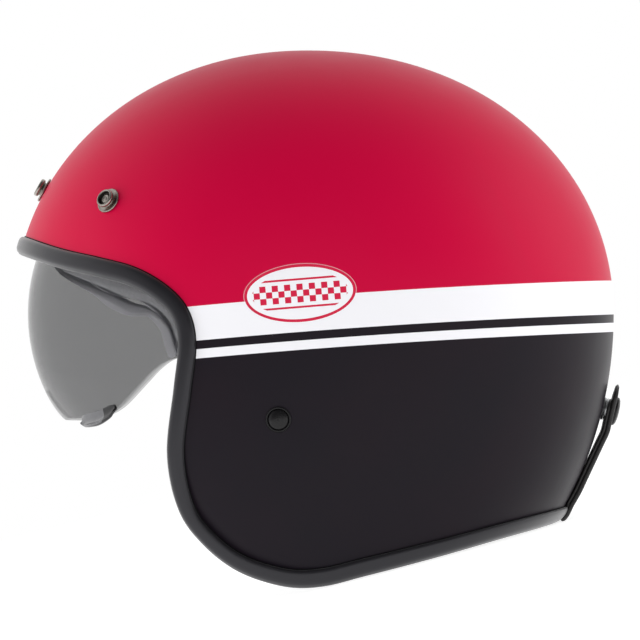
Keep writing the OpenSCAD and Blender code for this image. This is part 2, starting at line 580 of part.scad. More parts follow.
// Side-view point of the leather at the snap, from the stud's stack of parts
leather_over = 2.8;
snap_n = normal_at(goggle_snap);
snap_mid = [goggle_snap.y, goggle_snap.z] + (leather_over + leather_t / 2) * [snap_n.y, snap_n.z];
snap_dir = [-snap_n.z, snap_n.y];
fold_dir = [sin(goggle_lean), cos(goggle_lean)];
strap_path = [fold + 0.4 * fold_dir, fold + 9 * fold_dir, fold + 18 * fold_dir, snap_mid - 9 * snap_dir,
    snap_mid, snap_mid + 7.5 * snap_dir];
module goggle_strap_root() color(LEATHER) set_down() goggle_frame() difference() {
    translate([-leather_w / 2, -leather_t / 2, -root_end]) cube([leather_w, leather_t, root_end - 0.4]);
    rivet_axis() translate([0, 0, -5]) cylinder(r = 1.7, h = 10);
}
module goggle_strap() color(LEATHER) set_down() difference() {
    union() {
        long_strip(strap_path, leather_t, leather_w);
        long_strip([snap_mid + 7 * snap_dir, snap_mid + 13 * snap_dir],
            leather_t * 0.8, leather_w * 0.55);
    }
    stand_on(goggle_snap) cylinder(r = 2, h = 12);
}
leather_face = leather_t / 2;
module goggle_strap_rivet() color(GUNMETAL) set_down() goggle_frame() rivet_axis()
    rotate_extrude() polygon([[0, -8.6], [3, -8.6], [3, -7.6], [1.5, -7.6], [1.5, leather_face + 0.1],
        [4, leather_face + 0.1], [3.6, leather_face + 0.7], [2, leather_face + 1.2],
        [0, leather_face + 1.3]]);
snap_top = leather_over + leather_t;
module goggle_snap_cap() color(BLACK) set_down() stand_on(goggle_snap)
    rotate_extrude() polygon([[0, 3], [1.8, 3], [1.8, snap_top + 0.15], [6.45, snap_top + 0.15],
        [6.3, snap_top + 0.9], [5.2, snap_top + 1.6], [3, snap_top + 2.05], [0, snap_top + 2.2]]);
module goggle_snap_socket() color(STEEL) set_down() stand_on(goggle_snap) difference() {
    translate([0, 0, 1.15]) cylinder(r = 5, h = leather_over - 1.3);
    cylinder(r = 2.7, h = 5);
}
module goggle_snap_stud() color(STEEL) set_down() stand_on(goggle_snap)
    rotate_extrude() polygon([[1.2, 0.15], [5.2, 0.15], [5, 0.9], [2.2, 0.9], [2.2, 2.4], [1.9, 2.6],
        [1.2, 2.6]]);
module goggle_stud_rivet() color(STEEL) set_down() stand_on(goggle_snap)
    rotate_extrude() polygon([[0, -5], [3.4, -5], [3.4, -4.1], [1.1, -4.1], [1.1, 2.4], [0, 2.4]]);

outer_shell();
edge_trim();
eps_liner();
liner_edge_binding();
crown_liner();
cheek_pad_left();
cheek_pad_right();
neck_roll();
visor_lens();
visor_tab();
visor_pivot_plates();
visor_friction_washers();
visor_pivot_screws();
brow_snap_studs();
brow_snap_rivets();
brow_snap_washers();
strap_rivet_rings();
strap_rivet_caps();
strap_anchor_plates();
strap_rivet_washers();
strap_root_left();
strap_root_right();
chin_strap_left();
chin_strap_right();
buckle_housing();
buckle_lever();
lever_pin();
lever_spring();
release_ribbon();
ratchet_tongue();
chin_comfort_sleeve();
goggle_strap_root();
goggle_strap();
goggle_strap_rivet();
goggle_snap_cap();
goggle_snap_socket();
goggle_snap_stud();
goggle_stud_rivet();
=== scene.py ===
"""Open face motorcycle helmet: the looks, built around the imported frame.

Shapes are worked out in the head's frame in millimetres (the wearer looks along -Y, +X is the
wearer's left, origin mid-head), with the same formulas as the CAD, and stand in the row's frame
through HEAD, which is read from the frame's own joints.
"""
import json
import math

import bmesh
import bpy
import numpy as np
from mathutils import Matrix, Vector, kdtree
from mathutils.bvhtree import BVHTree


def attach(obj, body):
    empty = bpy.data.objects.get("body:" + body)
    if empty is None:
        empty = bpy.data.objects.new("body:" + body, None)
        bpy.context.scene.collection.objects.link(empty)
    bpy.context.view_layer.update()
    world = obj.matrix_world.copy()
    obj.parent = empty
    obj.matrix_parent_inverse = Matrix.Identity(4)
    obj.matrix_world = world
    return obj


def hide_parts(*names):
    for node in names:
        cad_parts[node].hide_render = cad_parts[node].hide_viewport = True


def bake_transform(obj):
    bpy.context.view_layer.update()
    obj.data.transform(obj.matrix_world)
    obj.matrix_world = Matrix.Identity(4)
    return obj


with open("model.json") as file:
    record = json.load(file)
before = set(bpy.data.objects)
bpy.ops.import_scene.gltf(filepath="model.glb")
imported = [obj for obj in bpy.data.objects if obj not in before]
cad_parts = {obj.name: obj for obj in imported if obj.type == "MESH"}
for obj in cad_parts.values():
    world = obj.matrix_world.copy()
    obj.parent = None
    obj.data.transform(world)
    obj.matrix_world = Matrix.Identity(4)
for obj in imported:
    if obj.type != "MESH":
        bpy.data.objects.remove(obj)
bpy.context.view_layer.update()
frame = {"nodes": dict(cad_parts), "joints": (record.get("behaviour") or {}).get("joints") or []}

MM = 0.001

# ---------------------------------------------------------------- the head's place in the row

JOINTS = {j["name"]: j for j in frame["joints"]}
PIVOT = (-20.0, -5.0)  # the visor's pivot, [y, z]
across = JOINTS["chin_left_swing"]["axis"]
TIP = math.atan2(across[2], -across[1])
TURN = Matrix.Rotation(-TIP, 4, "X")
HEAD = Matrix.Translation(
    Vector(JOINTS["visor_drop"]["pos_m"]) - TURN @ Vector((0, PIVOT[0] * MM, PIVOT[1] * MM))
) @ TURN


def row_point(p):
    """A point of the head's frame, in millimetres, in the row's frame in metres."""
    return HEAD @ (Vector(p) * MM)


# ---------------------------------------------------------------- driving dimensions, as in the CAD

HALF_W, FRONT, REAR, TOP = 114.0, 132.3, 137.5, 119.0
DOME_N, PLAN_N = 2.07, 2.1
LEN_DEPTH, WID_DEPTH = 158.0, 230.0
SHELL_T = 3.5
BEAD_REACH, BEAD_H = 4.2, 2.5
FOAM_OUT, FOAM_IN, CHEEK_IN, PAD_OUT = 4.6, 28.5, 40.5, 12.0
LENS_HALF_W, LENS_T, LENS_ARC, LENS_ARC_R = 100.0, 2.0, (-44.0, 0.6), 82.0
WEB_W, WEB_T = 22.0, 1.8
BROW_Z, NAPE_Z = 31.0, -89.6
RIM_MID = [(-110, 25), (-92, 20.8), (-76.5, 16.5), (-63.5, 9), (-55.6, 0), (-52.8, -13),
           (-54.9, -33), (-57.9, -61), (-53.4, -84), (-43.6, -98), (-29, -109), (-10, -115),
           (6, -115), (25, -110.5), (56, -103), (88, -95)]
FOAM_BROW_Z, FOAM_NAPE_Z = 24.0, -74.0
FOAM_RIM = [(-94, 12.5), (-84, 8.5), (-73, 5.5), (-64.5, -2.5), (-61.5, -10.5), (-57.5, -17.5),
            (-46, -20.5), (-20, -20.5), (10, -24), (36, -36), (52, -60), (61, -76), (74, -79),
            (85, -77.5)]
COMFORT_BROW_Z, COMFORT_NAPE_Z = 27.0, -66.0
COMFORT_RIM = [(-78, 17), (-62, 8), (-52, -2), (-40, -12), (-10, -14), (14, -18), (34, -28),
               (46, -46), (56, -62), (74, -68)]
PAD_LOW = [(-55, -36), (-54, -62), (-48, -82), (-36, -97), (-18, -106.5), (2, -110),
           (24, -105.5), (42, -100.5), (54, -97)]
PAD_TOP = [(-57, -23), (-46, -22.8), (-34, -22.8), (-20, -22.8), (-6, -23.8), (12, -27.5),
           (30, -39), (44, -61), (54, -83)]
LENS_LOW = [(0, -17), (0.19, -18), (0.366, -18.9), (0.412, -20.2), (0.48, -25), (0.537, -30.3),
            (0.624, -37.4), (0.69, -42), (0.76, -45.2), (0.85, -46.8), (1, -47)]
LENS_TOP = [(0, 7), (0.19, 10), (0.38, 16), (0.67, 24), (1, 31)]
NOSE_HALF_W, NOSE_H = 26.0, 13.0
STRAP_SPOT = (-12.7, -45.6)
SLOT_X, SLOT_Z, STRAP_LEAN = 61.0, -86.0, 6.0


# ---------------------------------------------------------------- curves and surfaces

def arch(a, n):
    """Height of a superellipse of exponent n at the share a of its half-width."""
    return max(0.0, 1 - min(1.0, abs(a)) ** n) ** (1 / n)


def wid(z, t=0.0):
    return (HALF_W - t) * (arch(z / (TOP - t), DOME_N) if z > 0 else math.sqrt(1 - (z / WID_DEPTH) ** 2))


def reach(z, t=0.0, back=False):
    share = arch(z / (TOP - t), DOME_N) if z > 0 else math.sqrt(1 - (z / LEN_DEPTH) ** 2)
    return ((REAR if back else FRONT) - t) * share


def on_layer(q, t=0.0):
    """The point over the side-view point q = (y, z), t below the shell's surface, on the left."""
    y, z = q
    return Vector((wid(z, t) * arch(y / max(0.001, reach(z, t, y > 0)), PLAN_N), y, z))


def round_layer(a, z, t, back):
    """The layer's point at the plan angle a from the left side towards the back or the front."""
    c, s = math.cos(a), math.sin(a)
    y = (1 if back else -1) * reach(z, t, back) * max(0.0, s) ** (2 / PLAN_N)
    return Vector((wid(z, t) * math.copysign(abs(c) ** (2 / PLAN_N), c), y, z))


def profile(a, t=0.0):
    """The layer's middle profile (y, z) at the angle a from the front over the crown."""
    s, c = math.sin(a), math.cos(a)
    length = (REAR if c < 0 else FRONT) - t
    if s > 0:
        return (-length * math.copysign(abs(c) ** (2 / DOME_N), c), (TOP - t) * s ** (2 / DOME_N))
    return (-length * c, LEN_DEPTH * s)


def profile_angle(z, t=0.0):
    return math.asin((z / (TOP - t)) ** (DOME_N / 2)) if z > 0 else math.asin(z / LEN_DEPTH)


def outward(p):
    """The direction in which the shell's wall is measured."""
    return (p - Vector((0, 0, min(p.z, 0)))).normalized()


def level(p):
    return (abs(p.x) / wid(p.z)) ** PLAN_N + (abs(p.y) / reach(p.z, 0, p.y > 0)) ** PLAN_N


def normal_at(p):
    step = 0.05
    return Vector([level(p + e) - level(p - e) for e in
                   (Vector((step, 0, 0)), Vector((0, step, 0)), Vector((0, 0, step)))]).normalized()


def mix(a, b, s):
    return a + (b - a) * s


def mix2(a, b, s):
    return (mix(a[0], b[0], s), mix(a[1], b[1], s))


def spline(points, s):
    """A smooth curve through the points, at the share s of the way along."""
    pts = [Vector(p) for p in points]
    n = len(pts) - 1
    k = min(n - 1, max(0, int(s * n)))
    t = s * n - k
    a, b, c, d = pts[max(0, k - 1)], pts[k], pts[k + 1], pts[min(n, k + 2)]
    return 0.5 * (2 * b + (c - a) * t + (2 * a - 5 * b + 4 * c - d) * t * t
                  + (3 * b - a - 3 * c + d) * t ** 3)


def ease(u, part=0.16):
    """Stations crowd towards both ends, where an edge crosses the middle plane."""
    if u < part:
        v = u * u / (2 * part)
    elif u > 1 - part:
        v = 1 - part - (1 - u) ** 2 / (2 * part)
    else:
        v = u - part / 2
    return v / (1 - part)


def smooth(a):
    c = min(1.0, max(0.0, a))
    return c * c * (3 - 2 * c)


def lookup(s, table):
    return float(np.interp(s, [r[0] for r in table], [r[1] for r in table]))


def edge_points(front_z, mid, back_z, t):
    return [profile(profile_angle(front_z, t), t), *mid, profile(math.pi - profile_angle(back_z, t), t)]


def flip_x(p):
    return Vector((-p.x, p.y, p.z))


def ribs(front_z, mid, back_z, n, m, depth, first=1):
    """A layer as a sheet of ribs from the edge on the left over to the edge on the right.
    depth(s, v) is how far below the shell's surface it lies: s runs along the edge from the
    brow to the nape, v from the edge at 0 to the middle plane at 1."""
    rows = []
    for i in range(first, n - first + 1):
        s = ease(i / n)
        half = []
        for j in range(m + 1):
            v = j / m
            t = depth(s, v)
            a, b = profile_angle(front_z, t), math.pi - profile_angle(back_z, t)
            c, e = profile(mix(a, b, s), t), spline(edge_points(front_z, mid, back_z, t), s)
            q = mix2(e, c, math.sin(math.pi / 2 * v))
            half.append(Vector((0, *q)) if j == m else on_layer(q, t))
        rows.append(half + [flip_x(p) for p in reversed(half[:-1])])
    return rows


def lens_reach(z, k):
    return PIVOT[0] - LENS_ARC[0] + math.sqrt((LENS_ARC_R - k) ** 2 - (z - LENS_ARC[1]) ** 2)


def lens_at(psi, z, k):
    c, s = math.cos(psi), math.sin(psi)
    return Vector(((LENS_HALF_W - k) * math.copysign(abs(c) ** (2 / PLAN_N), c),
                   PIVOT[0] - lens_reach(z, k) * max(0.0, s) ** (2 / PLAN_N), z))


def soft_lookup(s, table):
    """lookup with its corners rounded off, by averaging over a short stretch."""
    return sum(lookup(s + d * 0.012, table) for d in (-2, -1, 0, 1, 2)) / 5


def lens_bottom(psi):
    x = lens_at(psi, 0, 0).x
    nose = NOSE_H * (1 + math.cos(math.pi * x / NOSE_HALF_W)) / 2 if abs(x) < NOSE_HALF_W else 0
    return soft_lookup(max(0.0, math.sin(psi)) ** (2 / PLAN_N), LENS_LOW) + nose


# ---------------------------------------------------------------- meshes

def new_piece(name, points, faces, material, uvs=None, place=None):
    """A mesh object from points in millimetres in the head's frame. uvs has one pair a point."""
    mesh = bpy.data.meshes.new(name)
    mesh.from_pydata([tuple(Vector(p) * MM) for p in points], [], faces)
    if uvs is not None:
        layer = mesh.uv_layers.new(name="UVMap")
        for loop in mesh.loops:
            layer.data[loop.index].uv = uvs[loop.vertex_index]
    mesh.validate()
    obj = bpy.data.objects.new(name, mesh)
    bpy.context.scene.collection.objects.link(obj)
    obj.matrix_world = HEAD if place is None else place
    work = bmesh.new()
    work.from_mesh(mesh)
    bmesh.ops.recalc_face_normals(work, faces=work.faces)
    work.to_mesh(mesh)
    work.free()
    mesh.polygons.foreach_set("use_smooth", [True] * len(mesh.polygons))
    obj.data.materials.append(material)
    return obj


def slab_mesh(outer, inner):
    """Points, faces and uvs (metres along the sheet) of the closed solid between two sheets."""
    rows, cols = len(outer), len(outer[0])
    n = rows * cols
    points = [p for r in outer for p in r] + [p for r in inner for p in r]
    faces = []
    for i in range(rows - 1):
        for j in range(cols - 1):
            a = i * cols + j
            faces.append((a, a + 1, a + cols + 1, a + cols))
            faces.append((n + a, n + a + cols, n + a + cols + 1, n + a + 1))
    rim = list(range(cols)) + [i * cols + cols - 1 for i in range(1, rows)]
    rim += [(rows - 1) * cols + j for j in range(cols - 2, -1, -1)]
    rim += [i * cols for i in range(rows - 2, 0, -1)]
    for k, a in enumerate(rim):
        b = rim[(k + 1) % len(rim)]
        faces.append((a, b, b + n, a + n))
    along = [0.0]
    mid = cols // 4
    for i in range(1, rows):
        along.append(along[-1] + (outer[i][mid] - outer[i - 1][mid]).length * MM)
    uvs = []
    for sheet in (outer, inner):
        for i, row in enumerate(sheet):
            u = 0.0
            for j, p in enumerate(row):
                u += (p - row[j - 1]).length * MM if j else 0
                uvs.append((u, along[i]))
    return points, faces, uvs


def loft_mesh(rings, closed=False):
    """Points, faces and uvs of a tube through equal rings."""
    n, c = len(rings), len(rings[0])
    points = [p for r in rings for p in r]
    faces = []
    for i in range(n if closed else n - 1):
        for j in range(c):
            k, b = (i + 1) % n, (j + 1) % c
            faces.append((i * c + j, i * c + b, k * c + b, k * c + j))
    if not closed:
        faces.append(tuple(range(c - 1, -1, -1)))
        faces.append(tuple((n - 1) * c + j for j in range(c)))
    along, uvs = 0.0, []
    for i, ring in enumerate(rings):
        along += (ring[0] - rings[i - 1][0]).length * MM if i else 0
        u = 0.0
        for j, p in enumerate(ring):
            u += (p - ring[j - 1]).length * MM if j else 0
            uvs.append((u, along))
    return points, faces, uvs


def subdivided(obj):
    mod = obj.modifiers.new("smooth", "SUBSURF")
    mod.levels = mod.render_levels = 1
    return obj


def bevelled(obj, width, segments, angle):
    mod = obj.modifiers.new("edges", "BEVEL")
    mod.width, mod.segments = width * MM, segments
    mod.limit_method, mod.angle_limit = "ANGLE", angle


def apply_modifiers(obj):
    """The modifiers made real, with each face keeping its material."""
    bpy.context.view_layer.update()
    shape = obj.evaluated_get(bpy.context.evaluated_depsgraph_get())
    mesh = bpy.data.meshes.new_from_object(shape)
    materials = list(obj.data.materials)
    obj.modifiers.clear()
    obj.data = mesh
    slots = [poly.material_index for poly in mesh.polygons]
    mesh.materials.clear()
    for m in materials:
        mesh.materials.append(m)
    mesh.polygons.foreach_set("material_index", slots)


def joined(name, objs):
    """Several new pieces as one."""
    with bpy.context.temp_override(active_object=objs[0], selected_editable_objects=objs,
                                   selected_objects=objs, object=objs[0]):
        bpy.ops.object.join()
    objs[0].name = name
    return objs[0]


# ---------------------------------------------------------------- materials

WAVE = 6.283  # one turn, in radians


class Look:
    """A material's node tree, with short calls for its usual nodes."""

    def __init__(self, name):
        self.material = bpy.data.materials.new(name)
        self.material.use_nodes = True
        self.tree = self.material.node_tree
        self.tree.nodes.clear()
        self.out = self.tree.nodes.new("ShaderNodeOutputMaterial")

    def add(self, kind, inputs=None, **settings):
        node = self.tree.nodes.new("ShaderNode" + kind)
        for key, value in settings.items():
            setattr(node, key, value)
        for key, value in (inputs or {}).items():
            if isinstance(value, bpy.types.NodeSocket):
                self.tree.links.new(value, node.inputs[key])
            else:
                node.inputs[key].default_value = value
        return node

    def math(self, operation, *values, clamp=False):
        node = self.add("Math", dict(enumerate(values)), operation=operation)
        node.use_clamp = clamp
        return node.outputs[0]

    def place(self, scale=1.0, kind="Object"):
        """Coordinates on the piece in metres, times scale."""
        coord = self.add("TexCoord").outputs[kind]
        return self.add("VectorMath", {0: coord, "Scale": scale}, operation="SCALE").outputs[0]

    def wave(self, value):
        """A sine with one wave for each whole step of value."""
        return self.math("SINE", self.math("MULTIPLY", value, WAVE))

    def split(self, vector):
        return self.add("SeparateXYZ", {0: vector}).outputs

    def noise(self, size_mm, detail=2.0, rough=0.5):
        """Noise with features of about that size."""
        node = self.add("TexNoise", {"Vector": self.place(), "Scale": 1000 / size_mm,
                                     "Detail": detail, "Roughness": rough})
        return node.outputs["Fac"]

    def cells(self, size_mm, feature="F1"):
        node = self.add("TexVoronoi", {"Vector": self.place(), "Scale": 1000 / size_mm},
                        feature=feature)
        return node.outputs["Distance"]

    def between(self, factor, low, high):
        """low to high as factor goes 0 to 1."""
        return self.add("MapRange", {"Value": factor, "To Min": low, "To Max": high}).outputs[0]

    def blend(self, factor, a, b):
        node = self.add("Mix", data_type="RGBA")
        for key, value in (("Factor_Float", factor), ("A_Color", a), ("B_Color", b)):
            socket = next(s for s in node.inputs if s.identifier == key)
            if isinstance(value, bpy.types.NodeSocket):
                self.tree.links.new(value, socket)
            else:
                socket.default_value = value
        return next(s for s in node.outputs if s.identifier == "Result_Color")

    def bump(self, height, depth_mm, strength=1.0, under=None):
        inputs = {"Height": height, "Distance": depth_mm * MM, "Strength": strength}
        if under is not None:
            inputs["Normal"] = under
        return self.add("Bump", inputs).outputs[0]

    def finish(self, shader):
        self.tree.links.new(shader, self.out.inputs["Surface"])
        return self.material

    def plain(self, inputs):
        return self.finish(self.add("BsdfPrincipled", inputs).outputs[0])


# Shares of light held back by the lens's outer face, its inner face and its cut edge
LENS_TINT, INNER_TINT, EDGE_TINT = 0.555, 0.02, 0.4
WHITE = (0.80, 0.80, 0.83, 1.0)
CROWN_RED = (0.505, 0.0, 0.038, 1.0)
BADGE_RED = (0.56, 0.015, 0.055, 1.0)
LOW_BLACK = (0.0072, 0.0066, 0.0100, 1.0)

# Stripes below the crown's edge, in millimetres: white, black, white, then the black lower half
STRIPES = [(-23.0, WHITE), (-19.0, LOW_BLACK), (-15.3, WHITE), (0.0, CROWN_RED)]
STRIPE_Z, STRIPE_SLOPE, STRIPE_BOW, STRIPE_Y = 9.5, 0.0701, -0.000163, 20.6
BADGE_AT, BADGE_HALF, BADGE_TILT = (-3.3, 9.5), (24.4, 12.6), math.radians(4.7)


def paint_look():
    """Satin paint: red crown, white and black stripes, black lower half, and a generic badge."""
    g = Look("shell_paint")
    _, y, z = g.split(g.place(1000))
    dy = g.math("SUBTRACT", y, STRIPE_Y)
    line = g.math("MULTIPLY_ADD", g.math("MULTIPLY_ADD", dy, STRIPE_BOW, STRIPE_SLOPE), dy, STRIPE_Z)
    below = g.math("SUBTRACT", z, line)
    lo, hi = -30.0, 10.0
    ramp = g.add("ValToRGB", {"Fac": g.math("DIVIDE", g.math("SUBTRACT", below, lo), hi - lo)})
    ramp.color_ramp.interpolation = "CONSTANT"
    ramp.color_ramp.elements[0].color = LOW_BLACK
    ramp.color_ramp.elements.remove(ramp.color_ramp.elements[1])
    for edge, colour in STRIPES:
        ramp.color_ramp.elements.new((edge - lo) / (hi - lo)).color = colour
    colour = ramp.outputs["Color"]

    c, s = math.cos(BADGE_TILT), math.sin(BADGE_TILT)
    by, bz = g.math("SUBTRACT", y, BADGE_AT[0]), g.math("SUBTRACT", z, BADGE_AT[1])
    u = g.math("ADD", g.math("MULTIPLY", by, c), g.math("MULTIPLY", bz, s))
    v = g.math("SUBTRACT", g.math("MULTIPLY", bz, c), g.math("MULTIPLY", by, s))

    def oval(shrink):
        """1 inside the badge's oval drawn in by shrink."""
        a = g.math("DIVIDE", u, BADGE_HALF[0] - shrink)
        b = g.math("DIVIDE", v, BADGE_HALF[1] - shrink)
        r = g.math("ADD", g.math("MULTIPLY", a, a), g.math("MULTIPLY", b, b))
        return g.math("LESS_THAN", r, 1.0)

    def strip(low, high):
        """1 where the height above or below the badge's middle is from low to high."""
        height = g.math("ABSOLUTE", v)
        return g.math("MULTIPLY", g.math("GREATER_THAN", height, low), g.math("LESS_THAN", height, high))

    square = 2.7
    checks = [g.math("FLOOR", g.math("DIVIDE", g.math("ADD", w, square / 2), square)) for w in (u, v)]
    odd = g.math("ABSOLUTE", g.math("MODULO", g.math("ADD", *checks), 2.0))
    marks = g.math("MAXIMUM", g.math("MULTIPLY", odd, strip(-1, square * 1.5)), strip(5.6, 6.5))
    marks = g.math("MULTIPLY", marks, oval(3.4))
    colour = g.blend(oval(0.0), colour, BADGE_RED)
    colour = g.blend(oval(1.25), colour, WHITE)
    colour = g.blend(marks, colour, BADGE_RED)
    outer_line = g.math("SUBTRACT", oval(-0.35), oval(0.0))
    colour = g.blend(g.math("MULTIPLY", outer_line, 0.35), colour, WHITE)

    # Faint unevenness of the sprayed coat, a decal's edge and fine orange peel
    colour = g.blend(g.between(g.noise(45.0, 3), 0.0, 0.05), colour, (0.1, 0.02, 0.03, 1))
    rough = g.between(g.noise(18.0, 4), 0.38, 0.45)
    peel = g.bump(g.noise(0.9, 2), 0.006, 0.5)
    edges = g.bump(g.math("ADD", oval(0.0), g.math("GREATER_THAN", below, 0.0)), 0.02, 0.35, peel)
    return g.plain({"Base Color": colour, "Roughness": rough, "Normal": edges,
                    "Specular IOR Level": 0.12})


def inner_shell_look():
    """Bare moulded inside of the shell: dark, with a woven print."""
    g = Look("shell_inside")
    _, y, z = g.split(g.place(1000 / 2.4))
    weave = g.math("MULTIPLY", g.wave(y), g.wave(z))
    colour = g.blend(g.between(weave, 0.3, 0.7), (0.02, 0.02, 0.022, 1), (0.05, 0.05, 0.055, 1))
    return g.plain({"Base Color": colour, "Roughness": g.between(g.noise(6.0), 0.45, 0.7),
                    "Normal": g.bump(weave, 0.15)})


def rubber_look():
    g = Look("edge_rubber")
    grime = g.noise(9.0, 4)
    colour = g.blend(g.between(grime, 0.2, 0.8), (0.0045, 0.0043, 0.0056, 1), (0.0078, 0.0074, 0.0094, 1))
    normal = g.bump(g.noise(0.35, 3), 0.02, 0.6)
    normal = g.bump(g.noise(5.0, 2), 0.05, 0.3, normal)
    return g.plain({"Base Color": colour, "Roughness": g.between(grime, 0.32, 0.42), "Normal": normal,
                    "Specular IOR Level": 0.5, "Specular Tint": (0.95, 0.94, 1.0, 1),
                    "Sheen Weight": 0.3, "Sheen Roughness": 0.35})


def seal_shade_look():
    """The bead's sealing lip: duller rubber, painted darker than the bead as the shade in the groove between
    bead and shell.
    """
    g = Look("seal_lip_painted_shade")
    grime = g.noise(3.0, 4)
    colour = g.blend(grime, (0.002, 0.002, 0.002, 1), (0.006, 0.006, 0.007, 1))
    return g.plain({"Base Color": colour, "Roughness": g.between(grime, 0.6, 0.8),
                    "Normal": g.bump(grime, 0.03), "Specular IOR Level": 0.1})


def lens_look(name, tint):
    """Smoked polycarbonate with a hard coat. The face holds back the share tint of the light."""
    g = Look(name)
    haze = g.noise(30.0, 3)
    colour = g.blend(g.between(haze, 0, 0.5), (0.010, 0.010, 0.012, 1), (0.020, 0.020, 0.023, 1))
    return g.plain({"Base Color": colour, "Roughness": g.between(haze, 0.04, 0.09), "Alpha": tint,
                    "Normal": g.bump(haze, 0.01, 0.2), "Specular IOR Level": 0.05})


def lens_edge_look():
    """The lens's cut lower edge, where the tint gathers."""
    g = Look("lens_edge")
    saw = g.noise(1.5, 3)
    return g.plain({"Base Color": g.blend(saw, (0.010, 0.010, 0.012, 1), (0.03, 0.03, 0.034, 1)),
                    "Roughness": g.between(saw, 0.25, 0.4), "Normal": g.bump(saw, 0.02),
                    "Alpha": EDGE_TINT, "Specular IOR Level": 0.3})


def tab_look():
    """Finger tab: clear grey plastic, slightly scuffed."""
    g = Look("lens_tab")
    colour = g.blend(g.noise(4.0, 3), (0.065, 0.065, 0.072, 1), (0.095, 0.095, 0.103, 1))
    return g.plain({"Base Color": colour, "Roughness": g.between(g.noise(2.0), 0.08, 0.2),
                    "Normal": g.bump(g.noise(3.0), 0.02, 0.4), "Coat Weight": 0.6})


def foam_look():
    """Moulded bead foam: closely packed flattened beads of about 3 mm."""
    g = Look("impact_foam")
    bead = g.cells(3.2, "DISTANCE_TO_EDGE")
    seam = g.math("SUBTRACT", 1.0, g.math("MULTIPLY", bead, 9.0, clamp=True))
    colour = g.blend(seam, (0.80, 0.80, 0.83, 1), (0.70, 0.70, 0.73, 1))
    colour = g.blend(g.between(g.noise(14.0, 3), 0, 0.4), colour, (0.86, 0.86, 0.88, 1))
    normal = g.bump(g.math("MINIMUM", bead, 0.12), 0.3, 0.5)
    return g.plain({"Base Color": colour, "Roughness": 0.78, "Normal": normal})


def across_y(g):
    """Cloth coordinates in millimetres for a piece that faces left or right."""
    _, y, z = g.split(g.place(1000))
    return y, z


def round_z(g, radius=95.0):
    """Cloth coordinates in millimetres for a piece that bends round the nape."""
    x, y, z = g.split(g.place(1000))
    return g.math("MULTIPLY", g.math("ARCTAN2", x, y), radius), z


def by_uv(g):
    u, v, _ = g.split(g.place(1000, "UV"))
    return u, v


def knit_look(name, flat, pitch_mm=1.5):
    """Brushed jersey: rows of V-shaped loops with fuzz over them."""
    g = Look(name)
    a, b = (g.math("DIVIDE", c, pitch_mm) for c in flat(g))
    slant = g.math("PINGPONG", a, 0.5)
    loops = g.math("SINE", g.math("MULTIPLY", g.math("ADD", b, slant), 2 * math.pi))
    wale = g.math("ABSOLUTE", g.math("SINE", g.math("MULTIPLY", a, 2 * math.pi)))
    height = g.math("ADD", g.math("MULTIPLY", loops, 0.35), wale)
    wear = g.noise(22.0, 5, 0.6)
    colour = g.blend(g.math("MULTIPLY_ADD", height, 0.45, 0.1, clamp=True),
                     (0.008, 0.008, 0.009, 1), (0.034, 0.034, 0.038, 1))
    colour = g.blend(g.between(wear, 0.0, 0.35), colour, (0.06, 0.06, 0.066, 1))
    normal = g.bump(height, 0.16, 0.7)
    normal = g.bump(g.noise(0.9, 4), 0.12, 0.5, normal)
    return g.plain({"Base Color": colour, "Roughness": g.between(wear, 0.78, 0.95), "Normal": normal,
                    "Sheen Weight": 0.35, "Sheen Roughness": 0.5})


def mesh_look():
    """Spacer mesh: staggered round holes in a soft black knit."""
    g = Look("liner_mesh")
    u, v = (g.math("DIVIDE", c, 2.6) for c in by_uv(g))
    row = g.math("FLOOR", v)
    shift = g.math("MULTIPLY", g.math("ABSOLUTE", g.math("MODULO", row, 2.0)), 0.5)
    du = g.math("SUBTRACT", g.math("FRACT", g.math("ADD", u, shift)), 0.5)
    dv = g.math("SUBTRACT", g.math("FRACT", v), 0.5)
    away = g.math("SQRT", g.math("ADD", g.math("MULTIPLY", du, du), g.math("MULTIPLY", dv, dv)))
    solid = g.math("DIVIDE", g.math("SUBTRACT", away, 0.2), 0.14, clamp=True)
    wear = g.noise(26.0, 4, 0.6)
    colour = g.blend(solid, (0.004, 0.004, 0.004, 1), (0.030, 0.030, 0.034, 1))
    colour = g.blend(g.between(wear, 0.0, 0.4), colour, (0.06, 0.06, 0.066, 1))
    normal = g.bump(solid, 0.35, 0.7)
    normal = g.bump(g.noise(0.7, 3), 0.08, 0.5, normal)
    return g.plain({"Base Color": colour, "Roughness": g.between(wear, 0.75, 0.92), "Normal": normal,
                    "Sheen Weight": 0.25, "Sheen Roughness": 0.5})


def binding_look(name, dark, light):
    """Woven edge tape with fine diagonal ribs."""
    g = Look(name)
    u, v, _ = g.split(g.place(1000 / 1.1, "UV"))
    rib = g.wave(g.math("ADD", u, v))
    colour = g.blend(g.between(rib, 0.35, 0.65), dark, light)
    return g.plain({"Base Color": colour, "Roughness": g.between(g.noise(8.0), 0.5, 0.7),
                    "Normal": g.bump(rib, 0.12), "Sheen Weight": 0.3})


def webbing_look(name, dark, light, pitch_mm=1.3):
    """Flat woven tape: chevron ribs along its length, from its own UVs."""
    g = Look(name)
    u, v, _ = g.split(g.place(1000 / pitch_mm, "UV"))
    slant = g.math("PINGPONG", u, 2.0)
    twill = g.wave(g.math("ADD", v, slant))
    weft = g.wave(u)
    cloth = g.math("ADD", twill, g.math("MULTIPLY", weft, 0.5))
    colour = g.blend(g.between(cloth, 0.25, 0.75), dark, light)
    colour = g.blend(g.between(g.noise(12.0, 4), 0.0, 0.3), colour, light)
    normal = g.bump(cloth, 0.16, 0.8)
    return g.plain({"Base Color": colour, "Roughness": g.between(g.noise(5.0), 0.6, 0.8),
                    "Normal": normal, "Sheen Weight": 0.2})


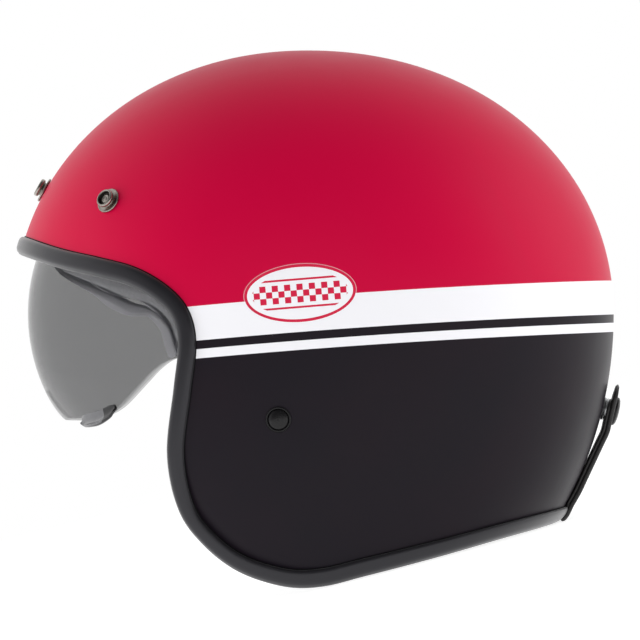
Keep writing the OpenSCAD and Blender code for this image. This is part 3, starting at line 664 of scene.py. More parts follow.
def leather_look():
    g = Look("leather")
    grain = g.cells(0.9, "DISTANCE_TO_EDGE")
    crease = g.noise(6.0, 5, 0.65)
    colour = g.blend(g.between(crease, 0.1, 0.9), (0.010, 0.0095, 0.010, 1), (0.022, 0.020, 0.020, 1))
    normal = g.bump(g.math("MINIMUM", grain, 0.2), 0.12, 0.5)
    normal = g.bump(crease, 0.25, 0.35, normal)
    return g.plain({"Base Color": colour, "Roughness": g.between(crease, 0.38, 0.56), "Normal": normal})


def metal_look(name, colour, dark, rough, brushed=0.0, tarnish=0.35, size_mm=2.5):
    """Plated metal with tarnish in patches and, if brushed, fine turning lines."""
    g = Look(name)
    patches = g.noise(size_mm, 5, 0.6)
    tint = g.blend(g.between(patches, -tarnish * 0.5, tarnish * 1.5), colour, dark)
    roughness = g.between(patches, rough, rough + 0.18)
    normal = g.bump(g.noise(0.6, 3), 0.01, 0.5)
    if brushed:
        _, y, z = g.split(g.place(1000))
        drawn_out = g.add("CombineXYZ", {0: 0.0, 1: g.math("MULTIPLY", y, 0.2), 2: z}).outputs[0]
        lines = g.add("TexNoise", {"Vector": drawn_out, "Scale": 9.0, "Detail": 2.0}).outputs["Fac"]
        normal = g.bump(lines, 0.02, brushed, normal)
    return g.plain({"Base Color": tint, "Metallic": 1.0, "Roughness": roughness, "Normal": normal})


def enamel_look():
    """Satin black enamel over a domed cap, worn thin in specks."""
    g = Look("black_metal")
    worn = g.math("GREATER_THAN", g.noise(0.8, 5, 0.7), 0.68)
    colour = g.blend(g.math("MULTIPLY", worn, 0.5), (0.0045, 0.0042, 0.0048, 1), (0.03, 0.029, 0.028, 1))
    return g.plain({"Base Color": colour, "Roughness": g.between(g.noise(2.0), 0.28, 0.38),
                    "Normal": g.bump(g.noise(0.5), 0.01, 0.4), "Specular IOR Level": 0.3})


def plastic_look(name, colour, rough=0.42):
    """Moulded plastic with a fine spark-eroded grain."""
    g = Look(name)
    lighter = tuple(min(1.0, c * 1.5 + 0.004) for c in colour[:3]) + (1.0,)
    tint = g.blend(g.between(g.noise(7.0, 4), 0.0, 0.7), colour, lighter)
    return g.plain({"Base Color": tint, "Roughness": g.between(g.noise(3.0, 3), rough, rough + 0.14),
                    "Normal": g.bump(g.cells(0.5), 0.03, 0.5)})


def thread_look():
    g = Look("thread")
    ply = g.wave(g.split(g.place(1000 / 0.35))[2])
    colour = g.blend(g.between(ply, 0.3, 0.7), (0.03, 0.03, 0.033, 1), (0.075, 0.075, 0.08, 1))
    return g.plain({"Base Color": colour, "Roughness": 0.6, "Normal": g.bump(ply, 0.05)})


# The sealing lip's darker rubber is painted shade for the groove between the bead and the shell.
PAINT, INSIDE, RUBBER, SEAL_SHADE = paint_look(), inner_shell_look(), rubber_look(), seal_shade_look()
LENS, LENS_INNER = lens_look("smoke_lens", LENS_TINT), lens_look("smoke_lens_inner", INNER_TINT)
LENS_EDGE, TAB, FOAM = lens_edge_look(), tab_look(), foam_look()
CHEEK_KNIT, NECK_KNIT = knit_look("cheek_knit", across_y), knit_look("neck_knit", round_z)
SLEEVE_KNIT, MESH = knit_look("sleeve_knit", by_uv, 1.2), mesh_look()
EDGE_TAPE = binding_look("liner_edge_tape", (0.68, 0.675, 0.72, 1), (0.80, 0.795, 0.84, 1))
BINDING = binding_look("liner_piping", (0.03, 0.03, 0.034, 1), (0.07, 0.07, 0.078, 1))
LEATHER, THREAD = leather_look(), thread_look()
WEBBING = webbing_look("webbing", (0.008, 0.008, 0.010, 1), (0.030, 0.030, 0.034, 1))
RIBBON = webbing_look("red_ribbon", (0.30, 0.005, 0.012, 1), (0.62, 0.02, 0.035, 1), 0.9)
NICKEL = metal_look("antique_nickel", (0.44, 0.405, 0.365, 1), (0.07, 0.062, 0.055, 1), 0.17, tarnish=0.45)
PATINA = metal_look("stud_patina", (0.12, 0.105, 0.09, 1), (0.02, 0.018, 0.016, 1), 0.4,
                    tarnish=0.5, size_mm=1.2)
STEEL = metal_look("steel", (0.62, 0.63, 0.64, 1), (0.32, 0.32, 0.33, 1), 0.22, brushed=0.5)
GLOSS_BLACK = plastic_look("gloss_black", (0.004, 0.004, 0.005, 1), 0.1)
ENAMEL, BLACK_PLASTIC = enamel_look(), plastic_look("black_plastic", (0.012, 0.012, 0.013, 1))


# ---------------------------------------------------------------- shell, trim and foam

def build_shell():
    outer = ribs(BROW_Z, RIM_MID, NAPE_Z, 168, 34, lambda s, v: 0.0)
    inner = [[p - SHELL_T * outward(p) for p in row] for row in outer]
    points, faces, uvs = slab_mesh(outer, inner)
    shell = new_piece("shell", points, faces, PAINT, uvs)
    shell.data.materials.append(INSIDE)
    n = len(points) // 2
    for poly in shell.data.polygons:
        if min(poly.vertices) >= n:
            poly.material_index = 1
    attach(shell, "helmet")
    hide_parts("outer_shell")


RIM_EDGE = edge_points(BROW_Z, RIM_MID, NAPE_Z, 0)


def rim_at(u):
    """The shell's edge: u runs 0 to 1 down the left side and on to 2 up the right."""
    w = -u if u < 0 else (2 - u if u > 1 else u)
    p = on_layer(spline(RIM_EDGE, ease(w)))
    return p if w == u else flip_x(p)


def rim_frame(u):
    """The edge's point, the direction into the shell, and the way out."""
    p = rim_at(u)
    along = (rim_at(u + 0.004) - rim_at(u - 0.004)).normalized()
    return p, normal_at(p).cross(along).normalized(), outward(p)


BEAD_FLANK_R = 3.7  # rounding of the bead's outer flank


def bead_section():
    """The bead's section, (into the shell, away from the head): a round cap with a fine parting
    line on its flank, the leg inside the shell, and last the thin sealing lip on the shell."""
    c = (BEAD_FLANK_R - BEAD_REACH, BEAD_H - BEAD_FLANK_R)
    out = [(BEAD_REACH, 0.35), (BEAD_REACH, 0.8), (BEAD_REACH - 0.3, 1.5), (BEAD_REACH - 1.0, 2.1),
           (BEAD_REACH - 2.1, 2.42), (0.8, BEAD_H)]
    for a in range(90, 181, 10):
        r = BEAD_FLANK_R - (0.14 if a == 140 else 0)
        out.append((c[0] + r * math.cos(math.radians(a)), c[1] + r * math.sin(math.radians(a))))
    out += [(-4.2, -2.4), (-4.1, -3.6), (-3.7, -4.7), (-3.0, -5.5), (-1.8, -5.8), (1.0, -5.9), (3.4, -6.0),
            (3.4, -4.0), (-0.8, -4.0), (-0.8, 0.05), (BEAD_REACH + 0.4, 0.02), (BEAD_REACH + 0.45, 0.22),
            (BEAD_REACH + 0.2, 0.34)]
    return out


def build_trim():
    rings, section = [], bead_section()
    count = 360
    for i in range(count):
        p, into, out = rim_frame(2 * i / count)
        rings.append([p + b * into + n * out for b, n in section])
    trim = new_piece("edge_bead", *loft_mesh(rings, closed=True)[:2], RUBBER)
    # The lip's faces get the darker rubber: painted shade for the groove where the bead meets the shell.
    trim.data.materials.append(SEAL_SHADE)
    lip = len(section) - 4
    for poly in trim.data.polygons:
        if all(k % len(section) >= lip or k % len(section) == 0 for k in poly.vertices):
            poly.material_index = 1
    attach(trim, "helmet")
    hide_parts("edge_trim")


EAR_HOLLOW_R = 29.0


def sunk(p):
    """The foam's outer face sinks to the lens pocket where the lens sweeps past, and round its ears."""
    half_w, out = 93.0, 97.0
    dy, dz = p.y - PIVOT[0], p.z - PIVOT[1]
    r = math.hypot(dy, dz)
    up = math.degrees(math.atan2(dz, -dy))
    f = (abs(p.x) / half_w) ** PLAN_N + (r / out) ** PLAN_N
    top = 70 + 600 / max(20.0, r)
    k = 0.0 if up < -90 else 1 - smooth((up - top) / 9)
    o = Vector((0, PIVOT[0], PIVOT[1]))
    q = mix(p, o + (p - o) * min(1.0, f ** (-1 / PLAN_N)), k)
    if math.hypot(q.y - PIVOT[0], q.z - PIVOT[1]) < EAR_HOLLOW_R:
        q.x = math.copysign(min(abs(q.x), half_w - 1), q.x)
    return q


def foam_edge(v):
    """Rounds the foam's two edges off."""
    return 1.6 * (1 - smooth(v / 0.06))


def build_foam():
    outer = ribs(FOAM_BROW_Z, FOAM_RIM, FOAM_NAPE_Z, 88, 20, lambda s, v: FOAM_OUT + foam_edge(v))
    inner = ribs(FOAM_BROW_Z, FOAM_RIM, FOAM_NAPE_Z, 88, 20, lambda s, v: FOAM_IN - foam_edge(v))
    outer = [[sunk(p) for p in row] for row in outer]
    points, faces, uvs = slab_mesh(outer, inner)
    foam = new_piece("foam_liner", points, faces, FOAM, uvs)
    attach(foam, "helmet")
    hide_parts("eps_liner")
    return outer, inner


def build_binding(outer, inner):
    """A folded tape over the foam's face edge."""
    last, gap = 34, 2.6
    left = []
    for k in range(last, 0, -1):
        o, i, o2, i2 = outer[k][0], inner[k][0], outer[k][1], inner[k][1]
        d = ((o - o2).normalized() + (i - i2).normalized()).normalized()
        side = (i - o) * 0.5
        mid = (o + i) / 2
        thick = 2.2 + 3.6 * smooth((mid.y + 124) / 8) * smooth((-66 - mid.y) / 14)
        ring = []
        for a in range(12):
            angle = math.pi * a / 11
            bulge = math.sin(angle) ** 0.35 * thick
            ring.append(mid - side * math.cos(angle) * 1.0 + d * (gap + bulge))
        ring += [mid + side * 0.93 + d * (gap - 0.5), mid - side * 0.93 + d * (gap - 0.5)]
        left.append(ring)
    rings = left + [[flip_x(p) for p in r] for r in reversed(left)]
    points, faces, uvs = loft_mesh(rings)
    piece = new_piece("liner_binding", points, faces, EDGE_TAPE, uvs)
    subdivided(piece)
    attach(piece, "helmet")
    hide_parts("liner_edge_binding")


build_shell()
build_trim()
foam_outer, foam_inner = build_foam()
build_binding(foam_outer, foam_inner)


# ---------------------------------------------------------------- visor

EAR_R, EAR_BORE_R, EAR_ROUND, EAR_SIDES = 12.0, 4.05, 0.4, 64
EAR_IN, EAR_OUT = LENS_HALF_W - LENS_T, LENS_HALF_W
EAR_SECTION = [(EAR_IN, EAR_BORE_R), (EAR_OUT, EAR_BORE_R), (EAR_OUT, EAR_R - EAR_ROUND),
               (EAR_OUT - EAR_ROUND, EAR_R), (EAR_IN + EAR_ROUND, EAR_R), (EAR_IN, EAR_R - EAR_ROUND)]


def build_lens():
    """The lens with its ears: a tinted outer face, an almost clear inner face and a cut lower edge."""
    first, cells, rows = math.radians(3), 132, 18

    def sheet(k):
        grid = []
        for i in range(cells + 1):
            psi = mix(first, math.pi - first, i / cells)
            low = lens_bottom(psi)
            top = soft_lookup(max(0.0, math.sin(psi)) ** (2 / PLAN_N), LENS_TOP)
            grid.append([lens_at(psi, mix(low, top, j / rows), k) for j in range(rows + 1)])
        return grid

    outer = sheet(0)
    points, faces, _ = slab_mesh(outer, sheet(LENS_T))
    parts = [new_piece("visor_shield", points, faces, LENS)]
    parts[0].data.materials.append(LENS_EDGE)
    parts[0].data.materials.append(LENS_INNER)
    half = len(points) // 2
    for poly in parts[0].data.polygons:
        low = all(k % (rows + 1) == 0 for k in poly.vertices)
        if low and min(poly.vertices) < half <= max(poly.vertices):
            poly.material_index = 1
        elif min(poly.vertices) >= half:
            poly.material_index = 2
    bevelled(parts[0], 0.35, 2, 0.9)
    apply_modifiers(parts[0])
    for side in (-1, 1):
        rings = []
        for x, r in EAR_SECTION:
            turns = [2 * math.pi * k / EAR_SIDES for k in range(EAR_SIDES)]
            rings.append([Vector((side * x, PIVOT[0] + r * math.cos(a), PIVOT[1] + r * math.sin(a)))
                          for a in turns])
        parts.append(new_piece("ear", *loft_mesh(rings, closed=True)[:2], LENS))
    lens = joined("visor_shield", parts)
    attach(lens, "visor")
    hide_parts("visor_lens")


TAB_SECTION = [(0.25, 2.7), (0.8, 3.0), (1.35, 2.8), (1.6, 2.0), (1.8, 0.6), (2.7, -0.9), (4.2, -2.0),
               (5.6, -2.7), (5.9, -3.2), (5.3, -3.8), (3.8, -3.5), (2.2, -2.5), (0.9, -1.5), (0.25, -1.3)]


TAB_BLACK_END = 0.3  # share of the tab's length, from its inner end, with a gloss black stiffener
TAB_UNDER = (8, 12)  # the section's corners on the tab's underside


def build_tab():
    """The finger tab follows the lens's lower edge and flares away from it."""
    start, end, cells = 41, 59, 30
    rings = []
    for i in range(cells + 1):
        share = i / cells
        psi = math.radians(mix(start, end, share))
        low = lens_bottom(psi)
        step = math.radians(1)
        d = lens_at(psi + step, low, 0) - lens_at(psi - step, low, 0)
        out = Vector((-d.y, d.x, 0)).normalized()
        k = 0.25 + 0.75 * math.sin(math.pi * (0.12 + 0.76 * share))
        round_off = min(1.0, (0.25 + 3.2 * min(share, 1 - share) * 2) ** 0.5)
        rings.append([lens_at(psi, low + s[1] * mix(0.5, 1, k) * round_off, 0)
                      + out * ((mix(1.7, s[0], k) if s[0] > 2 else s[0])) for s in TAB_SECTION])
    tab = new_piece("finger_tab", *loft_mesh(rings)[:2], TAB)
    tab.data.materials.append(GLOSS_BLACK)
    for poly in tab.data.polygons:
        corners = [k % len(TAB_SECTION) for k in poly.vertices]
        at_end = min(poly.vertices) // len(TAB_SECTION) < TAB_BLACK_END * cells
        underneath = TAB_UNDER[0] <= min(corners) and max(corners) <= TAB_UNDER[1]
        if at_end or underneath:
            poly.material_index = 1
    subdivided(tab)
    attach(tab, "visor")
    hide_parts("visor_tab")


build_lens()
build_tab()


# ---------------------------------------------------------------- soft goods

# The cloth of the cushions: steps of the simulation, its quality, mass and stiffness
CLOTH_STEPS, CLOTH_QUALITY, CLOTH_MASS, CLOTH_STRETCH, CLOTH_BEND = 20, 5, 0.2, 12, 1.5
SEAM_REACH = 5.0  # distance from a sewn line over which the face is drawn in fully


def puffed(obj, cap_mm, pressure=4.0, voxel_mm=0.0, pins=None):
    """Filled cloth: the piece swells as cloth under pressure, but no point moves more than the cap."""
    if voxel_mm:
        mod = obj.modifiers.new("remesh", "REMESH")
        mod.mode, mod.voxel_size = "VOXEL", voxel_mm * MM
        apply_modifiers(obj)
    rest = np.array([v.co for v in obj.data.vertices])
    if pins is not None:
        group = obj.vertex_groups.new(name="pins")
        for k, weight in enumerate(pins):
            group.add([k], float(weight), "REPLACE")
    cloth = obj.modifiers.new("cloth", "CLOTH")
    s = cloth.settings
    s.use_pressure, s.uniform_pressure_force = True, pressure
    s.effector_weights.gravity = 0
    s.quality, s.mass = CLOTH_QUALITY, CLOTH_MASS
    s.tension_stiffness = s.compression_stiffness = CLOTH_STRETCH
    s.bending_stiffness = CLOTH_BEND
    if pins is not None:
        s.vertex_group_mass = "pins"
    cloth.collision_settings.use_collision = False
    for step in range(CLOTH_STEPS):
        bpy.context.scene.frame_set(step + 1)
    swollen = obj.evaluated_get(bpy.context.evaluated_depsgraph_get()).to_mesh()
    moved = np.array([v.co for v in swollen.vertices]) - rest
    size = np.linalg.norm(moved, axis=1, keepdims=True)
    moved *= np.minimum(1.0, cap_mm * MM / np.maximum(size, 1e-9))
    obj.modifiers.remove(cloth)
    obj.data.vertices.foreach_set("co", (rest + moved).ravel())
    obj.vertex_groups.clear()
    bpy.context.scene.frame_set(1)
    return subdivided(obj)


def crowned(u, v):
    """0 at a pad's edges and 1 in its middle, rising steeply."""
    return (16 * u * (1 - u) * v * (1 - v)) ** 0.25


def point_tree(points):
    """A search tree that finds the nearest of the points."""
    tree = kdtree.KDTree(len(points))
    for k, p in enumerate(points):
        tree.insert(p, k)
    tree.balance()
    return tree


class Cushion:
    """A padded piece between a face turned to the head and a back, both given over u, v in 0 to 1."""

    def __init__(self, name, face, back, cells, cap_mm, material, channels=()):
        rows, cols = cells
        grid = lambda f: [[f(i / rows, j / cols) for j in range(cols + 1)] for i in range(rows + 1)]
        points, faces, _ = slab_mesh(grid(back), grid(face))
        self.obj = new_piece(name, points, faces, material)
        puffed(self.obj, cap_mm, voxel_mm=4.5)
        apply_modifiers(self.obj)
        self.face, self.back = face, back
        self.tree = BVHTree.FromPolygons([v.co for v in self.obj.data.vertices],
                                         [p.vertices for p in self.obj.data.polygons])
        self.sew(channels)
        self.obj.data.polygons.foreach_set("use_smooth", [True] * len(self.obj.data.polygons))

    def sew(self, channels, fine=(96, 48), depth=3.4, half_w=3.2):
        """Draws the face in along the sewn channels, given as u(v) lines."""
        if not channels:
            return
        spots = point_tree([self.face(i / fine[0], j / fine[1]) * MM
                            for i in range(fine[0] + 1) for j in range(fine[1] + 1)])
        tree = point_tree([self.face(u, j / 60) * MM for u in channels for j in range(3, 58)])
        deep = point_tree([self.back(i / 12, j / 6) * MM for i in range(13) for j in range(7)])
        for vert in self.obj.data.vertices:
            co = vert.co.copy()
            away = tree.find(co)[2] / MM
            if away > half_w * 4:
                continue
            near_back, near_face = deep.find(co), spots.find(co)
            if near_face[2] < near_back[2]:
                pull = depth * math.exp(-(max(0.0, away - SEAM_REACH) / half_w) ** 2)
                vert.co = co + (near_back[0] - co).normalized() * pull * MM

    def on_surface(self, p):
        """The nearest point of the finished cushion, and the way out of it."""
        at, normal, _, _ = self.tree.find_nearest(p * MM)
        return at / MM, normal

    def seam(self, depth=0.35, count=140):
        """Points round the cushion's side, depth of the way from the face to the back."""
        loop = []
        for k in range(count):
            s = 4 * k / count
            side, t = int(s), s - int(s)
            u, v = ((t, 0), (1, t), (1 - t, 1), (0, 1 - t))[side]
            loop.append(self.on_surface(mix(self.face(u, v), self.back(u, v), depth)))
        smooth_loop = []
        for k in range(count):
            near = [loop[(k + d) % count] for d in (-3, -2, -1, 0, 1, 2, 3)]
            smooth_loop.append((sum((p for p, _ in near), Vector()) / 7,
                                sum((n for _, n in near), Vector()).normalized()))
        return smooth_loop


def tube(name, centres, radius, material, sides=10):
    """A round tube along a closed line of centres."""
    n = len(centres)
    rings = []
    side = None
    for k in range(n):
        along = (centres[(k + 1) % n] - centres[(k - 1) % n]).normalized()
        if side is None:
            side = along.orthogonal()
        side = (side - side.dot(along) * along).normalized()
        up = along.cross(side)
        rings.append([centres[k] + radius * (math.cos(2 * math.pi * a / sides) * side
                                             + math.sin(2 * math.pi * a / sides) * up)
                      for a in range(sides)])
    points, faces, uvs = loft_mesh(rings)
    # The last ring joins the first at whichever corner lies nearest
    faces = faces[:-2]
    first, last = rings[0], rings[-1]
    turn = min(range(sides), key=lambda k: (first[k] - last[0]).length)
    ahead, behind = first[(turn + 1) % sides] - last[1], first[turn - 1] - last[1]
    flip = 1 if ahead.length < behind.length else -1
    base = (n - 1) * sides
    for j in range(sides):
        a, b = base + j, base + (j + 1) % sides
        faces.append((a, b, (turn + flip * (j + 1)) % sides, (turn + flip * j) % sides))
    return new_piece(name, points, faces, material, uvs)


# A stitch's rings: share of its length, share of its thickness, height in thread radii
STITCH = ((0, 0.35, -0.5), (0.14, 0.85, 0.25), (0.5, 1, 0.5), (0.86, 0.85, 0.25), (1, 0.35, -0.5))
STITCH_SIDES = 6


def stitches(name, runs, length=2.2, gap=1.1, r=0.26):
    """Thread along each run, a list of (point, way out of the cloth) pairs, as one mesh."""
    points, faces, n = [], [], STITCH_SIDES
    for run in runs:
        at = [0.0]
        for a, b in zip(run, run[1:]):
            at.append(at[-1] + (b[0] - a[0]).length)
        pick = lambda s, k: Vector([np.interp(s, at, [q[k][i] for q in run]) for i in range(3)])
        place_at = lambda s: pick(s, 0)
        count = max(1, int((at[-1] + gap) / (length + gap)))
        pitch = at[-1] / count
        for k in range(count):
            start, stop = k * pitch + gap / 2, (k + 1) * pitch - gap / 2
            base = len(points)
            for share, fat, lift in STITCH:
                s = mix(start, stop, share)
                c, out = place_at(s), pick(s, 1).normalized()
                along = (place_at(min(at[-1], s + 0.2)) - place_at(max(0, s - 0.2))).normalized()
                side = along.cross(out).normalized()
                for a in range(n):
                    angle = 2 * math.pi * a / n
                    points.append(c + out * (lift * r + fat * r * math.sin(angle))
                                  + side * fat * r * math.cos(angle))
            for i in range(len(STITCH) - 1):
                for j in range(n):
                    a, b = base + i * n + j, base + i * n + (j + 1) % n
                    faces.append((a, b, b + n, a + n))
            faces.append(tuple(base + j for j in range(n - 1, -1, -1)))
            faces.append(tuple(base + (len(STITCH) - 1) * n + j for j in range(n)))
    return new_piece(name, points, faces, THREAD)


def build_cheek_pad(side):
    """A cheek pad in the shell's side, with piping round it and three sewn panels."""
    word = "left" if side > 0 else "right"

    def point(u, v, edge, middle):
        p = on_layer(mix(spline(PAD_LOW, u), spline(PAD_TOP, u), v), mix(edge, middle, crowned(u, v)))
        return Vector((side * p.x, p.y, p.z))

    pad = Cushion(f"cheek_cushion_{word}", lambda u, v: point(u, v, 29.0, CHEEK_IN - 3.0),
                  lambda u, v: point(u, v, 16.0, PAD_OUT + 1.5), (30, 14), 5.0,
                  CHEEK_KNIT, (0.3, 0.68))
    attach(pad.obj, "helmet")
    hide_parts(f"cheek_pad_{word}")
    piping = tube(f"cheek_piping_{word}", [p + n * 0.3 for p, n in pad.seam(0.3)], 1.15, BINDING)
    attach(piping, "helmet")
    runs = []
    for u in (0.3, 0.68):
        runs.append([pad.on_surface(point(u, j / 40, 30, CHEEK_IN + 4)) for j in range(4, 37)])
    thread = stitches(f"cheek_stitches_{word}", runs, 2.4, 1.4)
    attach(thread, "helmet")


def build_neck_roll():
    low = [(0, -99), (0.45, -93.5), (1, -86.5)]
    top = [(0, -81.5), (0.45, -80.5), (1, -76.5)]
    first, last = math.radians(38), math.radians(142)

    def point(u, v, edge, middle):
        a = mix(first, last, u)
        s = (math.sin(a) - math.sin(first)) / (1 - math.sin(first))
        z = mix(lookup(s, low), lookup(s, top), v)
        return round_layer(a, z, mix(edge, middle, crowned(mix(0.15, 0.85, u), v)), True)

    roll = Cushion("neck_cushion", lambda u, v: point(u, v, 22.0, 30.0),
                   lambda u, v: point(u, v, 12.5, 9.5), (44, 10), 4.0, NECK_KNIT)
    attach(roll.obj, "helmet")
    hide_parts("neck_roll")
    piping = tube("neck_piping", [p + n * 0.3 for p, n in roll.seam(0.25, 180)], 1.1, BINDING)
    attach(piping, "helmet")


CROWN_ROWS, CROWN_COLS = 84, 22
CROWN_LINES_V = (0.42, 0.74)     # sewn lines running front to back, as shares from the edge
CROWN_LINES_S = (0.3, 0.5, 0.7)  # sewn lines across the side panels


def crown_pin(i, j):
    """1 where the liner's face is sewn down, at its edges and along its lines."""
    v = min(j, 2 * CROWN_COLS - j)
    lines = [round(x * CROWN_COLS) for x in CROWN_LINES_V]
    across = [round(x * (CROWN_ROWS - 2)) for x in CROWN_LINES_S]
    edge = i in (0, CROWN_ROWS - 2) or v == 0
    return edge or v in lines or (i in across and v < lines[1])


def build_crown_liner():
    """Quilted comfort liner: its back is held on the foam and its panels swell between the seams."""
    outer = ribs(COMFORT_BROW_Z, COMFORT_RIM, COMFORT_NAPE_Z, CROWN_ROWS, CROWN_COLS,
                 lambda s, v: FOAM_IN + 0.8)
    inner = ribs(COMFORT_BROW_Z, COMFORT_RIM, COMFORT_NAPE_Z, CROWN_ROWS, CROWN_COLS,
                 lambda s, v: FOAM_IN + 3.4)
    rows, cols = len(inner), len(inner[0])
    points, faces, uvs = slab_mesh(outer, inner)
    liner = new_piece("crown_quilt", points, faces, MESH, uvs)
    pins = [1.0] * (rows * cols) + [1.0 if crown_pin(i, j) else 0.0 for i in range(rows) for j in range(cols)]
    puffed(liner, 4.6, 40.0, pins=pins)
    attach(liner, "helmet")
    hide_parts("crown_liner")
    middle = Vector((0, 0, 10))
    inward = lambda p: (middle - p).normalized()
    runs = []
    lines = [round(x * CROWN_COLS) for x in CROWN_LINES_V]
    for k in lines:
        for j in (k, cols - 1 - k):
            runs.append([(inner[i][j], inward(inner[i][j])) for i in range(1, rows - 1)])
    for x in CROWN_LINES_S:
        i = round(x * (CROWN_ROWS - 2))
        for js in (range(1, lines[1]), range(cols - 1 - lines[1] + 1, cols - 1)):
            runs.append([(inner[i][j], inward(inner[i][j])) for j in js])
    thread = stitches("crown_stitches", runs, 2.6, 1.6, 0.3)
    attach(thread, "helmet")


for pad_side in (1, -1):
    build_cheek_pad(pad_side)
build_neck_roll()
build_crown_liner()


# ---------------------------------------------------------------- flat straps

def resampled(points, step):
    """Points at even steps along the smooth curve through the points."""
    fine = [spline(points, i / 600) for i in range(601)]
    at = np.concatenate([[0], np.cumsum([(b - a).length for a, b in zip(fine, fine[1:])])])
    count = max(2, int(at[-1] / step))
    want = np.linspace(0, at[-1], count + 1)
    return [Vector([np.interp(w, at, [p[i] for p in fine]) for i in range(len(points[0]))]) for w in want]


def strap_section(width, thick, r):
    """A flat section's outline with rounded edges, as (across, through) pairs."""
    out = []
    for quarter, (sx, sy) in enumerate(((1, 1), (-1, 1), (-1, -1), (1, -1))):
        for k in range(4):
            a = math.radians(90 * quarter + 30 * k)
            out.append((sx * (width / 2 - r) + r * math.cos(a), sy * (thick / 2 - r) + r * math.sin(a)))
    return out


def strip(name, path, width, thick, material, lift, round_r=None, tip=0.0):
    """A flat strap along a side-view path. lift(a, b, w) makes a point from the path's point and
    the share across the width. tip is how long a stretch at its end is rounded off in plan."""
    r = round_r or thick * 0.42
    rings = []
    n = len(path)
    length = sum((b - a).length for a, b in zip(path, path[1:]))
    gone = 0.0
    for i, p in enumerate(path):
        d = (path[min(n - 1, i + 1)] - path[max(0, i - 1)]).normalized()
        gone += (p - path[i - 1]).length if i else 0
        narrow = thin = 1.0
        if tip and length - gone < tip:
            share = (tip - length + gone) / tip
            narrow = max(0.12, math.sqrt(max(0.0, 1 - share ** 2)))
            thin = (1 - 0.3 * smooth(share)) * max(0.25, min(1.0, math.sqrt(8 * (1 - share))))
        rings.append([lift(p.x - d.y * t * thin, p.y + d.x * t * thin, w * narrow)
                      for w, t in strap_section(width, thick, r)])
    points, faces, uvs = loft_mesh(rings)
    return new_piece(name, points, faces, material, uvs)


def strap_lift(side):
    """From the folded strap's own side view (x, z) to the head's frame, on the given side."""
    lean = math.radians(STRAP_LEAN)

    def lift(a, b, w):
        x = SLOT_X + a * math.cos(lean) + b * math.sin(lean)
        return Vector((side * x, STRAP_SPOT[0] + w, SLOT_Z - a * math.sin(lean) + b * math.cos(lean)))

    return lift


def local_of(x, z):
    """The head's (x, z) seen in the folded strap's own frame."""
    lean = math.radians(STRAP_LEAN)
    dx, dz = x - SLOT_X, z - SLOT_Z
    return Vector((dx * math.cos(lean) - dz * math.sin(lean), dx * math.sin(lean) + dz * math.cos(lean)))


ROOT_PATH = [(104.6, -33), (103.4, -44.8), (102.1, -57), (99.3, -72), (96.6, -81), (93.6, -84.8),
             (89, SLOT_Z), (76, SLOT_Z), (65, SLOT_Z)]
BAR = {1: 50.0, -1: 64.0}  # height of the bar that each strap is sewn round
LOOP_R = 2.2


def build_webbing(side):
    """One length of webbing from the rivet through the pad's slot, folded up and sewn round its bar."""
    word = "left" if side > 0 else "right"
    lift = strap_lift(side)
    bar, r = BAR[side], LOOP_R + WEB_T / 2
    path = resampled([local_of(*p) for p in ROOT_PATH], 2.5)
    path += [Vector(p) for p in ((2.6, 0.2), (1.3, 0.9), (0.4, 2.2), (0.05, 4), (0, 7))]
    path += [Vector((0, z)) for z in np.arange(10, bar - 10, 3)]
    path += [Vector(p) for p in ((-0.2, bar - 9), (-1.0, bar - 6.5), (-2.1, bar - 3.6))]
    path += [Vector((-r * math.cos(a), bar + r * math.sin(a))) for a in np.radians(np.arange(-20, 201, 20))]
    tail = WEB_T + 0.1
    path += [Vector(p) for p in ((2.7, bar - 4.2), (2.1, bar - 7.5), (tail, bar - 10.5))]
    path += [Vector((tail, z)) for z in np.arange(bar - 13, bar - 28, -3)]
    web = strip(f"chin_webbing_{word}", path, WEB_W, WEB_T, WEBBING, lift)
    # Lock stitches where the tail is sewn back on the strap
    runs = []
    box_w, z0, z1 = WEB_W / 2 - 3, bar - 26, bar - 12
    for face, x in ((1, tail + WEB_T / 2), (-1, -WEB_T / 2)):
        out = lift(face, 0, 0) - lift(0, 0, 0)
        corners = [(-box_w, z0), (box_w, z0), (box_w, z1), (-box_w, z1), (-box_w, z0), (box_w, z1)]
        for (wa, za), (wb, zb) in zip(corners, corners[1:]):
            runs.append([(lift(x, mix(za, zb, s), mix(wa, wb, s)), out.normalized()) for s in (0, 0.5, 1)])
    thread = stitches(f"chin_webbing_stitches_{word}", runs, 2.0, 0.8, 0.28)
    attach(thread, f"chin_{word}")
    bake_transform(web)
    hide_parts(f"strap_root_{word}", f"chin_strap_{word}")


def build_sleeve():
    """Padded sleeve over the right strap: a flat tube, thick in the middle and thin at its seams."""
    lift = strap_lift(-1)
    z0, z1, half_w, thick = 7.0, 55.0, 17.0, 3.35
    rings = []
    count, around = 36, 40

    def ring(z, grow, hole):
        out = []
        for k in range(around):
            a = 2 * math.pi * k / around
            c, s = math.cos(a), math.sin(a)
            w = math.copysign(abs(c) ** 0.5, c) * ((half_w - 1.2) * grow if not hole else WEB_W / 2 + 0.6)
            t = math.copysign(abs(s) ** 0.8, s) * (thick * grow if not hole else WEB_T / 2 + 0.45)
            out.append(lift(t, z, w))
        return out

    for i in range(count + 1):
        share = i / count
        puff = 0.9 + 0.1 * abs(math.sin(math.pi * 4 * share)) ** 0.6
        end = min(1.0, 0.62 + 0.38 * math.sqrt(min(1.0, 9 * min(share, 1 - share))))
        rings.append(ring(mix(z0, z1, share), puff * end, False))
    rings += [ring(mix(z1, z0, s), 1, True) for s in (0.01, 0.3, 0.7, 0.99)]
    points, faces, uvs = loft_mesh(rings, closed=True)
    sleeve = new_piece("chin_sleeve_pad", points, faces, SLEEVE_KNIT, uvs)
    subdivided(sleeve)
    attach(sleeve, "chin_right")
    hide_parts("chin_comfort_sleeve")


